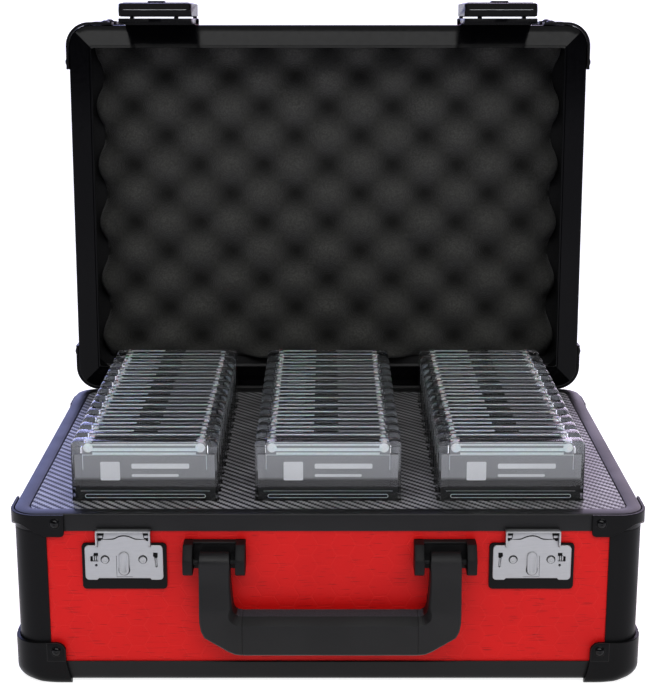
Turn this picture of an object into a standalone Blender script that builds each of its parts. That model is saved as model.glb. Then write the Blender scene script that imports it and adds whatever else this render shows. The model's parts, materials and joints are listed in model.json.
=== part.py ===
# Graded card storage case: a hard briefcase with a red laminate body, black edge frames,
# two toggle latches, a front handle, a foam insert with three rows of slab slots and an
# egg-crate foam pad in the lid. The lid stands open, as it does at rest.
#
# X runs to the right, Y to the back, Z up. The origin is on the underside of the bottom
# panel, under the middle of the base. Lid pieces are drawn shut and turned open by their pivot.

import math

import bmesh
import bpy
from mathutils import Matrix, Vector

MM = 0.001

# Slabs and their rows, which the case is sized to hold
slab_rows = 3
slabs_per_row = 14
slab_pitch = 15.0 * MM
slab_width = 82.0 * MM
slab_thickness = 7.0 * MM
slab_corner = 3.0 * MM
slab_above_rim = 34.8 * MM
row_gap = 21.0 * MM
row_side_margin = 31.0 * MM
row_front_margin = 22.5 * MM
row_back_margin = 25.5 * MM

# Case: outer size of the aluminium frame, seen from above, and the joins that all pieces keep
row_pitch = slab_width + row_gap
row_length = (slabs_per_row - 1) * slab_pitch + slab_thickness
case_width = (slab_rows - 1) * row_pitch + slab_width + 2 * row_side_margin
case_depth = row_front_margin + row_length + row_back_margin
join_gap = 0.3 * MM
corner_radius = 14.0 * MM
frame_round = 5.2 * MM
inner_corner_radius = 2.0 * MM
frame_wall = 1.0 * MM
panel_thickness = 3.0 * MM
corner_steps = 5

# Base
rim_top = 97.5 * MM
rim_band = 10.0 * MM
ledge_width = 8.5 * MM
ledge_thickness = 1.2 * MM
foot_band = 10.4 * MM
foot_ledge_width = 9.0 * MM
post_leg = 19.3 * MM

# Lid: deep enough for the tops of the slabs, a little room and the foam
parting_gap = 0.4 * MM
slab_to_foam = 3.2 * MM
foam_relief = 15.0 * MM
foam_base = 2.4 * MM
foam_back_gap = 0.3 * MM
foam_recess = slab_above_rim + slab_to_foam
lid_height = (foam_recess + foam_relief + foam_base + foam_back_gap
              + panel_thickness + join_gap + frame_wall)
lid_ledge_width = 15.0 * MM
open_angle = math.radians(92.73)

# Corner caps at the eight outer corners
cap_proud = 2.3 * MM
cap_fit = 0.4 * MM
cap_below_frame = 3.2 * MM
cap_height = 25.8 * MM
cap_leg = 27.7 * MM
cap_flare = 2.6 * MM
cap_leg_fillet = 5.0 * MM
cap_ball_radius = 9.5 * MM
cap_end_round = 6.0 * MM
cap_reach_share = 0.5
cap_rivet_radius = 2.3 * MM
cap_rivet_height = 0.9 * MM
cap_rivet_inset = 22.5 * MM
cap_rivet_drop = 5.0 * MM

# Rim protectors at the eight corners beside the parting line
guard_proud = 2.0 * MM
guard_fit = 0.4 * MM
guard_leg = 29.4 * MM
guard_height = 13.4 * MM
guard_arch_height = 7.0 * MM
guard_lobe = 10.2 * MM
guard_top_drop = 0.3 * MM
guard_back_drop = 2.2 * MM
guard_rivet_inset = 24.6 * MM
guard_rivet_drop = 4.7 * MM

# Piano hinge on the back
hinge_overhang = 0.5 * MM
hinge_end_margin = 49.0 * MM
hinge_length = case_width - 2 * hinge_end_margin
hinge_knuckles = 9
knuckle_radius = 1.9 * MM
knuckle_bore = 1.15 * MM
knuckle_gap = 0.4 * MM
hinge_pin_radius = 0.85 * MM
hinge_pin_overrun = 1.5 * MM
hinge_leaf_thickness = 0.8 * MM
hinge_leaf_height = 14.0 * MM
hinge_notch_fit = 0.35 * MM
knuckle_steps = 14
knuckle_wrap_share = 0.8

# Foam insert, its printed top sheet, and the strips that tie the slabs of a row
slot_fit = 0.5 * MM
sheet_thickness = 0.8 * MM
sheet_drop = 0.4 * MM
insert_chamfer = 10.5 * MM
row_strip_width = 10.0 * MM
row_strip_height = 1.2 * MM

# Egg-crate foam in the lid
foam_pitch_x = 44.0 * MM
foam_pitch_y = 42.0 * MM
foam_side_gap = 7.0 * MM
foam_edge_fall = 7.0 * MM
foam_samples = 4

# Latches and handle along the front
latch_side_margin = 62.15 * MM
latch_centres = case_width - 2 * latch_side_margin
handle_to_latch = 49.35 * MM
handle_centres = latch_centres - 2 * handle_to_latch

# Handle
handle_arm_width = 17.6 * MM
handle_arm_depth = 11.0 * MM
handle_axis_proud = 8.0 * MM
handle_axis_below_rim = 25.0 * MM
handle_drop = 54.5 * MM
grip_height = 21.0 * MM
grip_depth = 15.0 * MM
grip_bevel = 3.0 * MM
handle_outer_round = 22.0 * MM
handle_inner_round = 5.0 * MM
bracket_width = 35.0 * MM
bracket_height = 20.8 * MM
bracket_above_axis = 10.0 * MM
ear_thickness = 5.4 * MM
ear_depth = 14.0 * MM
ear_chamfer = 4.0 * MM
bracket_plate = 1.6 * MM
handle_pin_radius = 2.2 * MM
handle_bore_fit = 0.3 * MM

# Latches on the front: backing plate, catch plate with its hook box, thumb slide
backing_width = 47.0 * MM
backing_height = 27.2 * MM
backing_below_rim = 17.0 * MM
backing_thickness = 1.5 * MM
backing_corner = 2.0 * MM
catch_width = 43.3 * MM
catch_height = 20.4 * MM
catch_thickness = 1.0 * MM
catch_corner = 2.2 * MM
catch_below_backing = 2.0 * MM
catch_notch_width = 28.4 * MM
catch_notch_height = 1.0 * MM
hook_box_width = 31.0 * MM
hook_box_height = 9.6 * MM
hook_box_depth = 3.3 * MM
hook_box_wall = 1.0 * MM
hook_box_lean = 1.2 * MM
rivet_radius = 2.2 * MM
rivet_height = 0.6 * MM
rivet_spread = 20.9 * MM
rivet_drop = 8.4 * MM
slide_width = 5.6 * MM
slide_height = 13.3 * MM
slide_thickness = 1.3 * MM
slide_drop = 3.2 * MM
slide_travel = 3.0 * MM
slide_stem_width = 2.6 * MM
slide_stem_height = 4.0 * MM
slide_fit = 0.3 * MM
round_steps = 6

# Latch levers on the lid: fixed mount and the hinged lever over it
lever_width = 47.0 * MM
lever_length = 62.5 * MM
lever_thickness = 8.0 * MM
lever_overhang = 33.0 * MM
lever_standoff = 1.5 * MM
lever_bevel = 1.2 * MM
lever_end_inset = 5.5 * MM
mount_side = 0.3 * MM
mount_width = lever_width + 2 * mount_side
mount_thickness = 4.2 * MM
mount_start = 1.2 * MM
lug_width = 4.0 * MM
lug_spread = 34.0 * MM
lug_fit = 0.4 * MM
lug_radius = 3.4 * MM
lever_pin_radius = 1.4 * MM
lever_bore_fit = 0.3 * MM
lever_pin_overrun = 3.0 * MM
hook_width = 22.0 * MM
hook_thickness = 2.0 * MM
hook_reach = 2.2 * MM
hook_below_rim = 13.0 * MM
button_width = 11.4 * MM
button_depth = 9.0 * MM
button_height = 1.4 * MM
button_from_end = 14.0 * MM
pin_steps = 12

# Planes and centres worked out from the sizes above
half_width = case_width / 2
half_depth = case_depth / 2
panel_face = frame_wall + join_gap
panel_back = panel_face + panel_thickness
frame_foot = -(join_gap + frame_wall)
cap_foot = frame_foot - cap_below_frame
lid_plane = rim_top + parting_gap
lid_top = lid_plane + lid_height
hinge_axis = Vector((0.0, half_depth + hinge_overhang, rim_top + parting_gap / 2))
front = -half_depth
first_slab_face = front + row_front_margin
home = {}


def colour(hex_code):
    """Linear RGBA from an sRGB hex code."""
    channels = [int(hex_code[i:i + 2], 16) / 255 for i in (0, 2, 4)]
    linear = [c / 12.92 if c <= 0.04045 else ((c + 0.055) / 1.055) ** 2.4 for c in channels]
    return (*linear, 1.0)


def finish(name, hex_code, roughness, metallic=0.0, alpha=1.0):
    """A Principled BSDF material with one plain finish."""
    material = bpy.data.materials.new(name)
    material.use_nodes = True
    shader = material.node_tree.nodes["Principled BSDF"]
    shader.inputs["Base Color"].default_value = colour(hex_code)
    shader.inputs["Roughness"].default_value = roughness
    shader.inputs["Metallic"].default_value = metallic
    shader.inputs["Alpha"].default_value = alpha
    material.diffuse_color = colour(hex_code)
    return material


def pivot(name, place, turn=0.0, carrier=None):
    """An empty on a joint's axis, turned about X. place is where it is with the lid shut."""
    empty = bpy.data.objects.new(name, None)
    bpy.context.scene.collection.objects.link(empty)
    start = home[carrier.name] if carrier else Vector()
    empty.parent = carrier
    empty.location = Vector(place) - start
    empty.rotation_euler = (turn, 0.0, 0.0)
    home[empty.name] = Vector(place)
    return empty


def piece(name, bm, material, carrier=None, smooth=None):
    """A named object from a bmesh drawn in the shut case's coordinates."""
    bmesh.ops.recalc_face_normals(bm, faces=bm.faces)
    mesh = bpy.data.meshes.new(name)
    bm.to_mesh(mesh)
    bm.free()
    if smooth:
        mesh.shade_smooth()
        mesh.set_sharp_from_angle(angle=smooth)
    obj = bpy.data.objects.new(name, mesh)
    bpy.context.scene.collection.objects.link(obj)
    if material:
        mesh.materials.append(material)
    if carrier:
        obj.parent = carrier
        obj.location = -home[carrier.name]
    return obj


def shape(obj, tool_bm, operation):
    """Cut a tool shape from an object, or join it on, with an exact Boolean."""
    tool = piece(obj.name + "_" + operation.lower() + "_tool", tool_bm, None)
    tool.parent = obj.parent
    tool.location = obj.location
    tool.hide_render = True
    tool.display_type = "WIRE"
    modifier = obj.modifiers.new(operation.title(), "BOOLEAN")
    modifier.operation = operation
    modifier.object = tool
    return obj


def cut(obj, tool_bm):
    return shape(obj, tool_bm, "DIFFERENCE")


def join(obj, tool_bm):
    return shape(obj, tool_bm, "UNION")


def add_box(bm, low, high):
    """An axis-aligned box between two corners."""
    low, high = Vector(low), Vector(high)
    size = high - low
    place = Matrix.Translation((low + high) / 2) @ Matrix.Diagonal((*size, 1.0))
    bmesh.ops.create_cube(bm, size=1.0, matrix=place)
    return bm


def add_prism(bm, outline, low, high, axis="Z"):
    """A prism whose flat outline is drawn across the given axis, from low to high."""
    def spot(a, b, c):
        if axis == "X":
            return (c, a, b)
        if axis == "Y":
            return (a, c, b)
        return (a, b, c)
    loops = [[bm.verts.new(spot(a, b, level)) for a, b in outline] for level in (low, high)]
    bm.faces.new(loops[0])
    bm.faces.new(loops[1])
    count = len(outline)
    for i in range(count):
        j = (i + 1) % count
        bm.faces.new((loops[0][i], loops[0][j], loops[1][j], loops[1][i]))
    return bm


def arc(centre, radius, start, end, steps):
    """Points along an arc, ends included. Angles are in degrees."""
    points = []
    for i in range(steps + 1):
        angle = math.radians(start + (end - start) * i / steps)
        points.append((centre[0] + radius * math.cos(angle), centre[1] + radius * math.sin(angle)))
    return points


def rounded_rectangle(half_x, half_y, radius, steps, centre=(0.0, 0.0)):
    """A rectangle with round corners, as a closed outline."""
    points = []
    for start, sign_x, sign_y in ((0, 1, 1), (90, -1, 1), (180, -1, -1), (270, 1, -1)):
        spot = (centre[0] + sign_x * (half_x - radius), centre[1] + sign_y * (half_y - radius))
        points += arc(spot, radius, start, start + 90, steps)
    return points


def ring(profile):
    """A frame that runs round the case. The profile holds (inset from outer face, height)."""
    bm = bmesh.new()
    loops = []
    for inset, height in profile:
        bend = max(corner_radius - inset, inner_corner_radius)
        outline = rounded_rectangle(half_width - inset, half_depth - inset, bend, corner_steps)
        loops.append([bm.verts.new((x, y, height)) for x, y in outline])
    for k, loop in enumerate(loops):
        after = loops[(k + 1) % len(loops)]
        for i in range(len(loop)):
            j = (i + 1) % len(loop)
            bm.faces.new((loop[i], loop[j], after[j], after[i]))
    return bm


def corner_plan(leg, proud, steps=corner_steps):
    """The outline round one corner, as (inset in x, inset in y, share of the way into the bend)."""
    centre = (corner_radius, corner_radius)
    bend = arc(centre, corner_radius + proud, 270, 180, steps)
    shares = [1 - abs(2 * i / steps - 1) for i in range(steps + 1)]
    points = [(leg, -proud, 0.0)]
    points += [(u, v, share) for (u, v), share in zip(bend, shares)]
    points.append((-proud, leg, 0.0))
    return points


def corner_spot(u, v, z, side_x, side_y):
    """World place of a point given by its insets from one corner of the case."""
    return (side_x * (half_width - u), side_y * (half_depth - v), z)


def skin_shell(bm, outer, inner):
    """A closed shell between two grids of points with the same rows and columns."""
    grids = [[[bm.verts.new(p) for p in row] for row in grid] for grid in (outer, inner)]
    rows, columns = len(outer), len(outer[0])
    for grid in grids:
        for r in range(rows - 1):
            for c in range(columns - 1):
                bm.faces.new((grid[r][c], grid[r][c + 1], grid[r + 1][c + 1], grid[r + 1][c]))
    a, b = grids
    for r in range(rows - 1):
        for c in (0, columns - 1):
            bm.faces.new((a[r][c], a[r + 1][c], b[r + 1][c], b[r][c]))
    for c in range(columns - 1):
        for r in (0, rows - 1):
            bm.faces.new((a[r][c], a[r][c + 1], b[r][c + 1], b[r][c]))
    return bm


def add_rivet(bm, centre, radius, height, seat, direction, axis):
    """A low rivet head that grows from its seat along an axis."""
    outline = arc(centre, radius, 0, 360 - 360 / pin_steps, pin_steps - 1)
    ends = sorted((seat, seat + direction * height))
    return add_prism(bm, outline, ends[0], ends[1], axis)


def board(name, low, high, material, carrier=None):
    return piece(name, add_box(bmesh.new(), low, high), material, carrier)


def walls(prefix, bottom, top, material, carrier=None):
    """Front, back, left and right boards between the corner posts."""
    flat_x = half_width - corner_radius - join_gap
    flat_y = half_depth - corner_radius - join_gap
    for name, side in (("front", -1), ("back", 1)):
        faces = sorted((side * (half_depth - panel_face), side * (half_depth - panel_back)))
        board(f"{prefix}_{name}_panel", (-flat_x, faces[0], bottom), (flat_x, faces[1], top),
              material, carrier)
    for name, side in (("left", -1), ("right", 1)):
        faces = sorted((side * (half_width - panel_face), side * (half_width - panel_back)))
        board(f"{prefix}_{name}_panel", (faces[0], -flat_y, bottom), (faces[1], flat_y, top),
              material, carrier)


def floor_board(name, bottom, material, carrier=None):
    """The large flat panel that lies inside the edge frame's round edge."""
    inset = frame_round + join_gap
    outline = rounded_rectangle(half_width - inset, half_depth - inset,
                                corner_radius - inset, corner_steps)
    return piece(name, add_prism(bmesh.new(), outline, bottom, bottom + panel_thickness),
                 material, carrier)


def post(name, side_x, side_y, bottom, top, material, carrier=None):
    """A round corner extrusion: two outer legs and a web that closes the boards' ends."""
    plan = [(u, v) for u, v, _ in corner_plan(post_leg, 0.0)]
    plan += [(frame_wall, post_leg), (frame_wall, corner_radius), (panel_back, corner_radius)]
    plan += [(corner_radius, panel_back), (corner_radius, frame_wall), (post_leg, frame_wall)]
    outline = [corner_spot(u, v, 0.0, side_x, side_y)[:2] for u, v in plan]
    return piece(name, add_prism(bmesh.new(), outline, bottom, top), material, carrier,
                 math.radians(30))


def cap_grid(proud, wall, foot, rise, side_x, side_y):
    """Rows of points from a cap's top edge, down its wall and in under the case.

    foot is the level of its flat face and rise is +1 for the base and -1 for the lid."""
    columns = []
    reach = cap_leg - cap_proud
    for u, v, share in corner_plan(cap_leg, proud):
        fillet = cap_leg_fillet + (cap_ball_radius - cap_leg_fillet) * share - wall
        if share > 0 or u == v:
            out = Vector((u - corner_radius, v - corner_radius)).normalized()
        elif u > v:
            out = Vector((0.0, -1.0))
        else:
            out = Vector((-1.0, 0.0))
        spread = Vector((1.0, 0.0)) if u > v else Vector((0.0, 1.0))
        at_end = max(u, v) >= cap_leg
        spot = Vector((u, v))
        column = []
        end_cut = cap_end_round if at_end else 0.0
        column.append((spot - spread * (end_cut / 2), cap_height))
        column.append((spot, cap_height - end_cut))
        flare = spread * (cap_flare if at_end else 0.0)
        for angle in (0, 30, 60, 90):
            inward = fillet * (1 - math.cos(math.radians(angle)))
            level = wall + fillet * (1 - math.sin(math.radians(angle)))
            column.append((spot + flare - out * inward, level))
        last = column[-1][0]
        column.append((last + (Vector((reach, reach)) - last) * cap_reach_share, wall))
        columns.append([corner_spot(p.x, p.y, foot + rise * h, side_x, side_y) for p, h in column])
    return [list(row) for row in zip(*columns)]


def corner_cap(name, side_x, side_y, foot, rise, material, carrier=None):
    """A ball corner of sheet metal over three faces, with a rivet in each leg."""
    wall = cap_proud - cap_fit
    outer = cap_grid(cap_proud, 0.0, foot, rise, side_x, side_y)
    inner = cap_grid(cap_fit, wall, foot, rise, side_x, side_y)
    cap = piece(name, skin_shell(bmesh.new(), outer, inner), material, carrier, math.radians(40))
    level = foot + rise * (cap_height - cap_rivet_drop)
    seat_inset = cap_fit + wall / 2
    heads = bmesh.new()
    x, y, _ = corner_spot(cap_rivet_inset, cap_rivet_inset, 0.0, side_x, side_y)
    height = cap_rivet_height + wall / 2
    add_rivet(heads, (x, level), cap_rivet_radius, height,
              side_y * (half_depth + seat_inset), side_y, "Y")
    add_rivet(heads, (y, level), cap_rivet_radius, height,
              side_x * (half_width + seat_inset), side_x, "X")
    return join(cap, heads)


def guard_grid(proud, edge, rise, side_x, side_y):
    """Top and bottom rows of a rim protector's arched wrap round the corner."""
    columns = []
    plan = corner_plan(guard_leg, proud)
    lobe = guard_leg - guard_lobe
    plan.insert(1, (lobe, -proud, 0.0))
    plan.insert(len(plan) - 1, (-proud, lobe, 0.0))
    for u, v, share in plan:
        tall = guard_height if max(u, v) >= lobe else guard_arch_height
        low = corner_spot(u, v, edge, side_x, side_y)
        high = corner_spot(u, v, edge + rise * tall, side_x, side_y)
        columns.append([low, high])
    return [list(row) for row in zip(*columns)]


def rim_guard(name, side_x, side_y, edge, rise, material, carrier=None):
    """A rim protector. edge is its edge beside the parting line; rise points away from it."""
    drop = guard_back_drop if side_y > 0 else guard_top_drop
    edge = edge + rise * drop
    outer = guard_grid(guard_proud, edge, rise, side_x, side_y)
    inner = guard_grid(guard_fit, edge, rise, side_x, side_y)
    guard = piece(name, skin_shell(bmesh.new(), outer, inner), material, carrier,
                  math.radians(30))
    wall = guard_proud - guard_fit
    level = edge + rise * guard_rivet_drop
    seat_inset = guard_fit + wall / 2
    height = cap_rivet_height + wall / 2
    x, y, _ = corner_spot(guard_rivet_inset, guard_rivet_inset, 0.0, side_x, side_y)
    heads = bmesh.new()
    add_rivet(heads, (x, level), cap_rivet_radius, height,
              side_y * (half_depth + seat_inset), side_y, "Y")
    add_rivet(heads, (y, level), cap_rivet_radius, height,
              side_x * (half_width + seat_inset), side_x, "X")
    return join(guard, heads)


def edge_profile(foot, rise):
    """Section of the extrusion round an outer edge: a band, a round edge and a ledge.

    foot is its flat face and rise is +1 for the base and -1 for the lid."""
    bend = (frame_round, frame_round)
    outside = arc(bend, frame_round, 180, 270, 2)
    inside = arc(bend, frame_round - frame_wall, 270, 180, 2)
    points = [(0.0, foot_band)] + outside + [(foot_ledge_width, 0.0)]
    points += [(foot_ledge_width, frame_wall)] + inside + [(frame_wall, foot_band)]
    return [(inset, foot + rise * height) for inset, height in points]


def hinge_notch(bm):
    """A channel along the hinge, for clearance round its knuckles in both rims."""
    reach = knuckle_radius + hinge_notch_fit
    outline = arc(hinge_axis.yz, reach, 0, 360 - 360 / knuckle_steps, knuckle_steps - 1)
    half = hinge_length / 2 + hinge_pin_overrun + join_gap
    return add_prism(bm, outline, -half, half, "X")


def base_shell(red, black, cap_black):
    """Bottom, walls, posts, edge frames, caps and protectors of the base."""
    floor_board("base_bottom_panel", 0.0, black)
    walls("base", frame_foot + frame_round + join_gap,
          rim_top - ledge_thickness - join_gap, red)
    band_top = frame_foot + foot_band
    piece("base_bottom_frame", ring(edge_profile(frame_foot, 1)), black,
          smooth=math.radians(50))
    rim_profile = [(0.0, rim_top - rim_band), (0.0, rim_top), (ledge_width, rim_top),
                   (ledge_width, rim_top - ledge_thickness),
                   (frame_wall, rim_top - ledge_thickness), (frame_wall, rim_top - rim_band)]
    rim = piece("base_rim", ring(rim_profile), black, smooth=math.radians(30))
    cut(rim, hinge_notch(bmesh.new()))
    for end, side_y in (("front", -1), ("rear", 1)):
        for hand, side_x in (("left", -1), ("right", 1)):
            where = f"{end}_{hand}"
            post(f"base_post_{where}", side_x, side_y, band_top + join_gap,
                 rim_top - rim_band - join_gap, black)
            corner_cap(f"base_cap_{where}", side_x, side_y, cap_foot, 1, cap_black)
            rim_guard(f"base_rim_guard_{where}", side_x, side_y, rim_top, -1, cap_black)


def lid_shell(red, black, gloss, cap_black, carrier):
    """Top, walls, posts, edge frames, caps and protectors of the lid, drawn shut."""
    top_face = lid_top - frame_wall - join_gap
    floor_board("lid_top_panel", top_face - panel_thickness, red, carrier)
    walls("lid", lid_plane + ledge_thickness + join_gap,
          lid_top - frame_round - join_gap, red, carrier)
    band_low = lid_top - foot_band
    piece("lid_edge_frame", ring(edge_profile(lid_top, -1)), black, carrier, math.radians(50))
    rim_profile = [(0.0, lid_plane + rim_band), (0.0, lid_plane), (lid_ledge_width, lid_plane),
                   (lid_ledge_width, lid_plane + ledge_thickness),
                   (frame_wall, lid_plane + ledge_thickness), (frame_wall, lid_plane + rim_band)]
    rim = piece("lid_rim", ring(rim_profile), gloss, carrier, math.radians(30))
    cut(rim, hinge_notch(bmesh.new()))
    for end, side_y in (("front", -1), ("rear", 1)):
        for hand, side_x in (("left", -1), ("right", 1)):
            where = f"{end}_{hand}"
            post(f"lid_post_{where}", side_x, side_y, lid_plane + rim_band + join_gap,
                 band_low - join_gap, black, carrier)
            corner_cap(f"lid_cap_{where}", side_x, side_y, lid_top + cap_below_frame, -1,
                       cap_black, carrier)
            rim_guard(f"lid_rim_guard_{where}", side_x, side_y, lid_plane, 1, cap_black, carrier)


def hinge_leaf(name, rise, first, material, carrier=None):
    """One leaf of the piano hinge with its rolled knuckles. rise is -1 for the base."""
    inner = half_depth + join_gap
    outer = inner + hinge_leaf_thickness
    axis_y, axis_z = hinge_axis.y, hinge_axis.z
    clear = knuckle_radius + hinge_notch_fit
    near = axis_z + rise * clear
    far = axis_z + rise * hinge_leaf_height
    half = hinge_length / 2
    ends = sorted((near, far))
    leaf = piece(name, add_box(bmesh.new(), (-half, inner, ends[0]), (half, outer, ends[1])),
                 material, carrier)
    span = hinge_length / hinge_knuckles
    start = math.degrees(math.asin((inner - axis_y + hinge_leaf_thickness) / knuckle_radius))
    wrap = 360 * knuckle_wrap_share
    roll = arc((0.0, 0.0), knuckle_radius, start, start + wrap, knuckle_steps)
    core = arc((0.0, 0.0), knuckle_bore, start + wrap, start, knuckle_steps)
    tongue = clear + hinge_leaf_thickness
    outline = [(tongue, outer - axis_y)] + roll + core + [(tongue, inner - axis_y)]
    placed = [(axis_y + b, axis_z + rise * a) for a, b in outline]
    knuckles = bmesh.new()
    for k in range(first, hinge_knuckles, 2):
        low = -half + k * span + knuckle_gap / 2
        add_prism(knuckles, placed, low, low + span - knuckle_gap, "X")
    return join(leaf, knuckles)


def hinge(steel, carrier):
    hinge_leaf("hinge_base_leaf", -1, 0, steel)
    hinge_leaf("hinge_lid_leaf", 1, 1, steel, carrier)
    half = hinge_length / 2 + hinge_pin_overrun
    outline = arc(hinge_axis.yz, hinge_pin_radius, 0, 360 - 360 / pin_steps, pin_steps - 1)
    piece("hinge_pin", add_prism(bmesh.new(), outline, -half, half, "X"), steel,
          smooth=math.radians(40))


def row_centres():
    return [(k - (slab_rows - 1) / 2) * row_pitch for k in range(slab_rows)]


def slab_faces():
    """Front face of each slab in a row."""
    return [first_slab_face + k * slab_pitch for k in range(slabs_per_row)]


def slot_tool(low, high):
    """All slab slots as one cutting tool between two levels."""
    bm = bmesh.new()
    half = slab_width / 2 + slot_fit
    for x in row_centres():
        for y in slab_faces():
            add_box(bm, (x - half, y - slot_fit, low), (x + half, y + slab_thickness + slot_fit, high))
    return bm


def insert_and_sheet(foam, carbon):
    """The foam block that fills the base, and the patterned sheet on top of it."""
    low = panel_thickness + join_gap
    top = rim_top - ledge_thickness - join_gap
    half_x = half_width - panel_back - join_gap
    half_y = half_depth - panel_back - join_gap
    chamfer = insert_chamfer
    outline = []
    for side_x, side_y in ((1, 1), (-1, 1), (-1, -1), (1, -1)):
        ends = [(side_x * half_x, side_y * (half_y - chamfer)),
                (side_x * (half_x - chamfer), side_y * half_y)]
        outline += ends if side_x * side_y > 0 else ends[::-1]
    insert = piece("foam_insert", add_prism(bmesh.new(), outline, low, top), foam)
    overrun = ledge_thickness
    cut(insert, slot_tool(low - overrun, top + overrun))
    sheet_low = rim_top - sheet_drop - sheet_thickness
    inset = ledge_width + join_gap
    outline = rounded_rectangle(half_width - inset, half_depth - inset, corner_radius - inset, 2)
    sheet = piece("insert_top_sheet",
                  add_prism(bmesh.new(), outline, sheet_low, sheet_low + sheet_thickness), carbon)
    cut(sheet, slot_tool(sheet_low - overrun, rim_top + overrun))


def slab_row(name, x, plastic, carrier):
    """One row of card slabs, tied by a thin strip that lies on the insert between them."""
    foot = panel_thickness + join_gap
    top = rim_top + slab_above_rim
    half = slab_width / 2
    outline = [(x - half, foot), (x + half, foot)]
    outline += arc((x + half - slab_corner, top - slab_corner), slab_corner, 0, 90, 2)
    outline += arc((x - half + slab_corner, top - slab_corner), slab_corner, 90, 180, 2)
    faces = slab_faces()
    bm = bmesh.new()
    for y in faces:
        add_prism(bm, outline, y, y + slab_thickness, "Y")
    strip = bmesh.new()
    half_strip = row_strip_width / 2
    low = rim_top - sheet_drop + join_gap
    add_box(strip, (x - half_strip, faces[0] + slab_thickness / 2, low),
            (x + half_strip, faces[-1] + slab_thickness / 2, low + row_strip_height))
    return join(piece(name, bm, plastic, carrier), strip)


def lid_foam(foam, carrier):
    """Egg-crate foam: staggered hollows that face the slabs, on a flat back."""
    half_x = half_width - panel_back - foam_side_gap
    half_y = half_depth - panel_back - foam_side_gap
    back = lid_top - frame_wall - join_gap - panel_thickness - foam_back_gap
    step_x = foam_pitch_x / foam_samples
    step_y = foam_pitch_y / foam_samples
    count_x = round(2 * half_x / step_x)
    count_y = round(2 * half_y / step_y)
    middle = lid_plane + foam_recess + foam_relief / 2
    bm = bmesh.new()
    top, bottom = [], []
    for j in range(count_y + 1):
        row, under = [], []
        for i in range(count_x + 1):
            x = -half_x + 2 * half_x * i / count_x
            y = -half_y + 2 * half_y * j / count_y
            wave = math.cos(2 * math.pi * (i - count_x / 2) / foam_samples)
            wave *= math.cos(2 * math.pi * (j - count_y / 2) / foam_samples)
            edge = i in (0, count_x) or j in (0, count_y)
            face = middle - foam_relief / 2 * wave
            if edge:
                face = min(face + foam_edge_fall, back - foam_back_gap)
            row.append(bm.verts.new((x, y, face)))
            under.append(bm.verts.new((x, y, back)) if edge else None)
        top.append(row)
        bottom.append(under)
    for j in range(count_y):
        for i in range(count_x):
            bm.faces.new((top[j][i], top[j][i + 1], top[j + 1][i + 1], top[j + 1][i]))
    rim_top_loop = ([(0, i) for i in range(count_x)] + [(j, count_x) for j in range(count_y)]
                    + [(count_y, i) for i in range(count_x, 0, -1)]
                    + [(j, 0) for j in range(count_y, 0, -1)])
    for k, (j, i) in enumerate(rim_top_loop):
        b, a = rim_top_loop[(k + 1) % len(rim_top_loop)]
        bm.faces.new((top[j][i], top[b][a], bottom[b][a], bottom[j][i]))
    bm.faces.new([bottom[j][i] for j, i in rim_top_loop])
    return piece("lid_foam", bm, foam, carrier, math.radians(60))


def handle_axis():
    return Vector((0.0, front - handle_axis_proud, rim_top - handle_axis_below_rim))


def handle(black, carrier):
    """The carrying handle: two arms and a thick bevelled grip, hanging down at rest."""
    axis = handle_axis()
    arm = handle_arm_width / 2
    outer = handle_centres / 2 + arm
    inner = handle_centres / 2 - arm
    top = axis.z + handle_arm_depth / 2
    foot = axis.z - handle_drop
    shoulder = foot + grip_height
    outline = [(-outer, top), (-inner, top)]
    outline += arc((-inner + handle_inner_round, shoulder + handle_inner_round),
                   handle_inner_round, 180, 270, 3)
    outline += arc((inner - handle_inner_round, shoulder + handle_inner_round),
                   handle_inner_round, 270, 360, 3)
    outline += [(inner, top), (outer, top)]
    outline += arc((outer - handle_outer_round, foot + handle_outer_round),
                   handle_outer_round, 0, -90, 4)
    outline += arc((-outer + handle_outer_round, foot + handle_outer_round),
                   handle_outer_round, 270, 180, 4)
    back = axis.y + handle_arm_depth / 2
    bar = piece("handle", add_prism(bmesh.new(), outline, back - grip_depth, back, "Y"), black,
                carrier, math.radians(30))
    bevel = bar.modifiers.new("Edges", "BEVEL")
    bevel.width = grip_bevel
    bevel.segments = 1
    bevel.limit_method = "ANGLE"
    bevel.angle_limit = math.radians(60)
    relief = bmesh.new()
    eye = [(back - grip_depth - grip_bevel, axis.z - handle_arm_depth)]
    eye += [(axis.y - handle_arm_depth / 2, axis.z - handle_arm_depth)]
    eye += arc(axis.yz, handle_arm_depth / 2, 180, 0, round_steps)
    eye += [(back + grip_bevel, axis.z), (back + grip_bevel, top + grip_bevel)]
    eye += [(back - grip_depth - grip_bevel, top + grip_bevel)]
    for side in (-1, 1):
        ends = sorted((side * (inner - grip_bevel), side * (outer + grip_bevel)))
        add_prism(relief, eye, ends[0], ends[1], "X")
    cut(bar, relief)
    bores = bmesh.new()
    round_bore = arc(axis.yz, handle_pin_radius + handle_bore_fit, 0, 360 - 360 / pin_steps,
                     pin_steps - 1)
    for side in (-1, 1):
        ends = sorted((side * (inner - grip_bevel), side * (outer + grip_bevel)))
        add_prism(bores, round_bore, ends[0], ends[1], "X")
    return cut(bar, bores)


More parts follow.
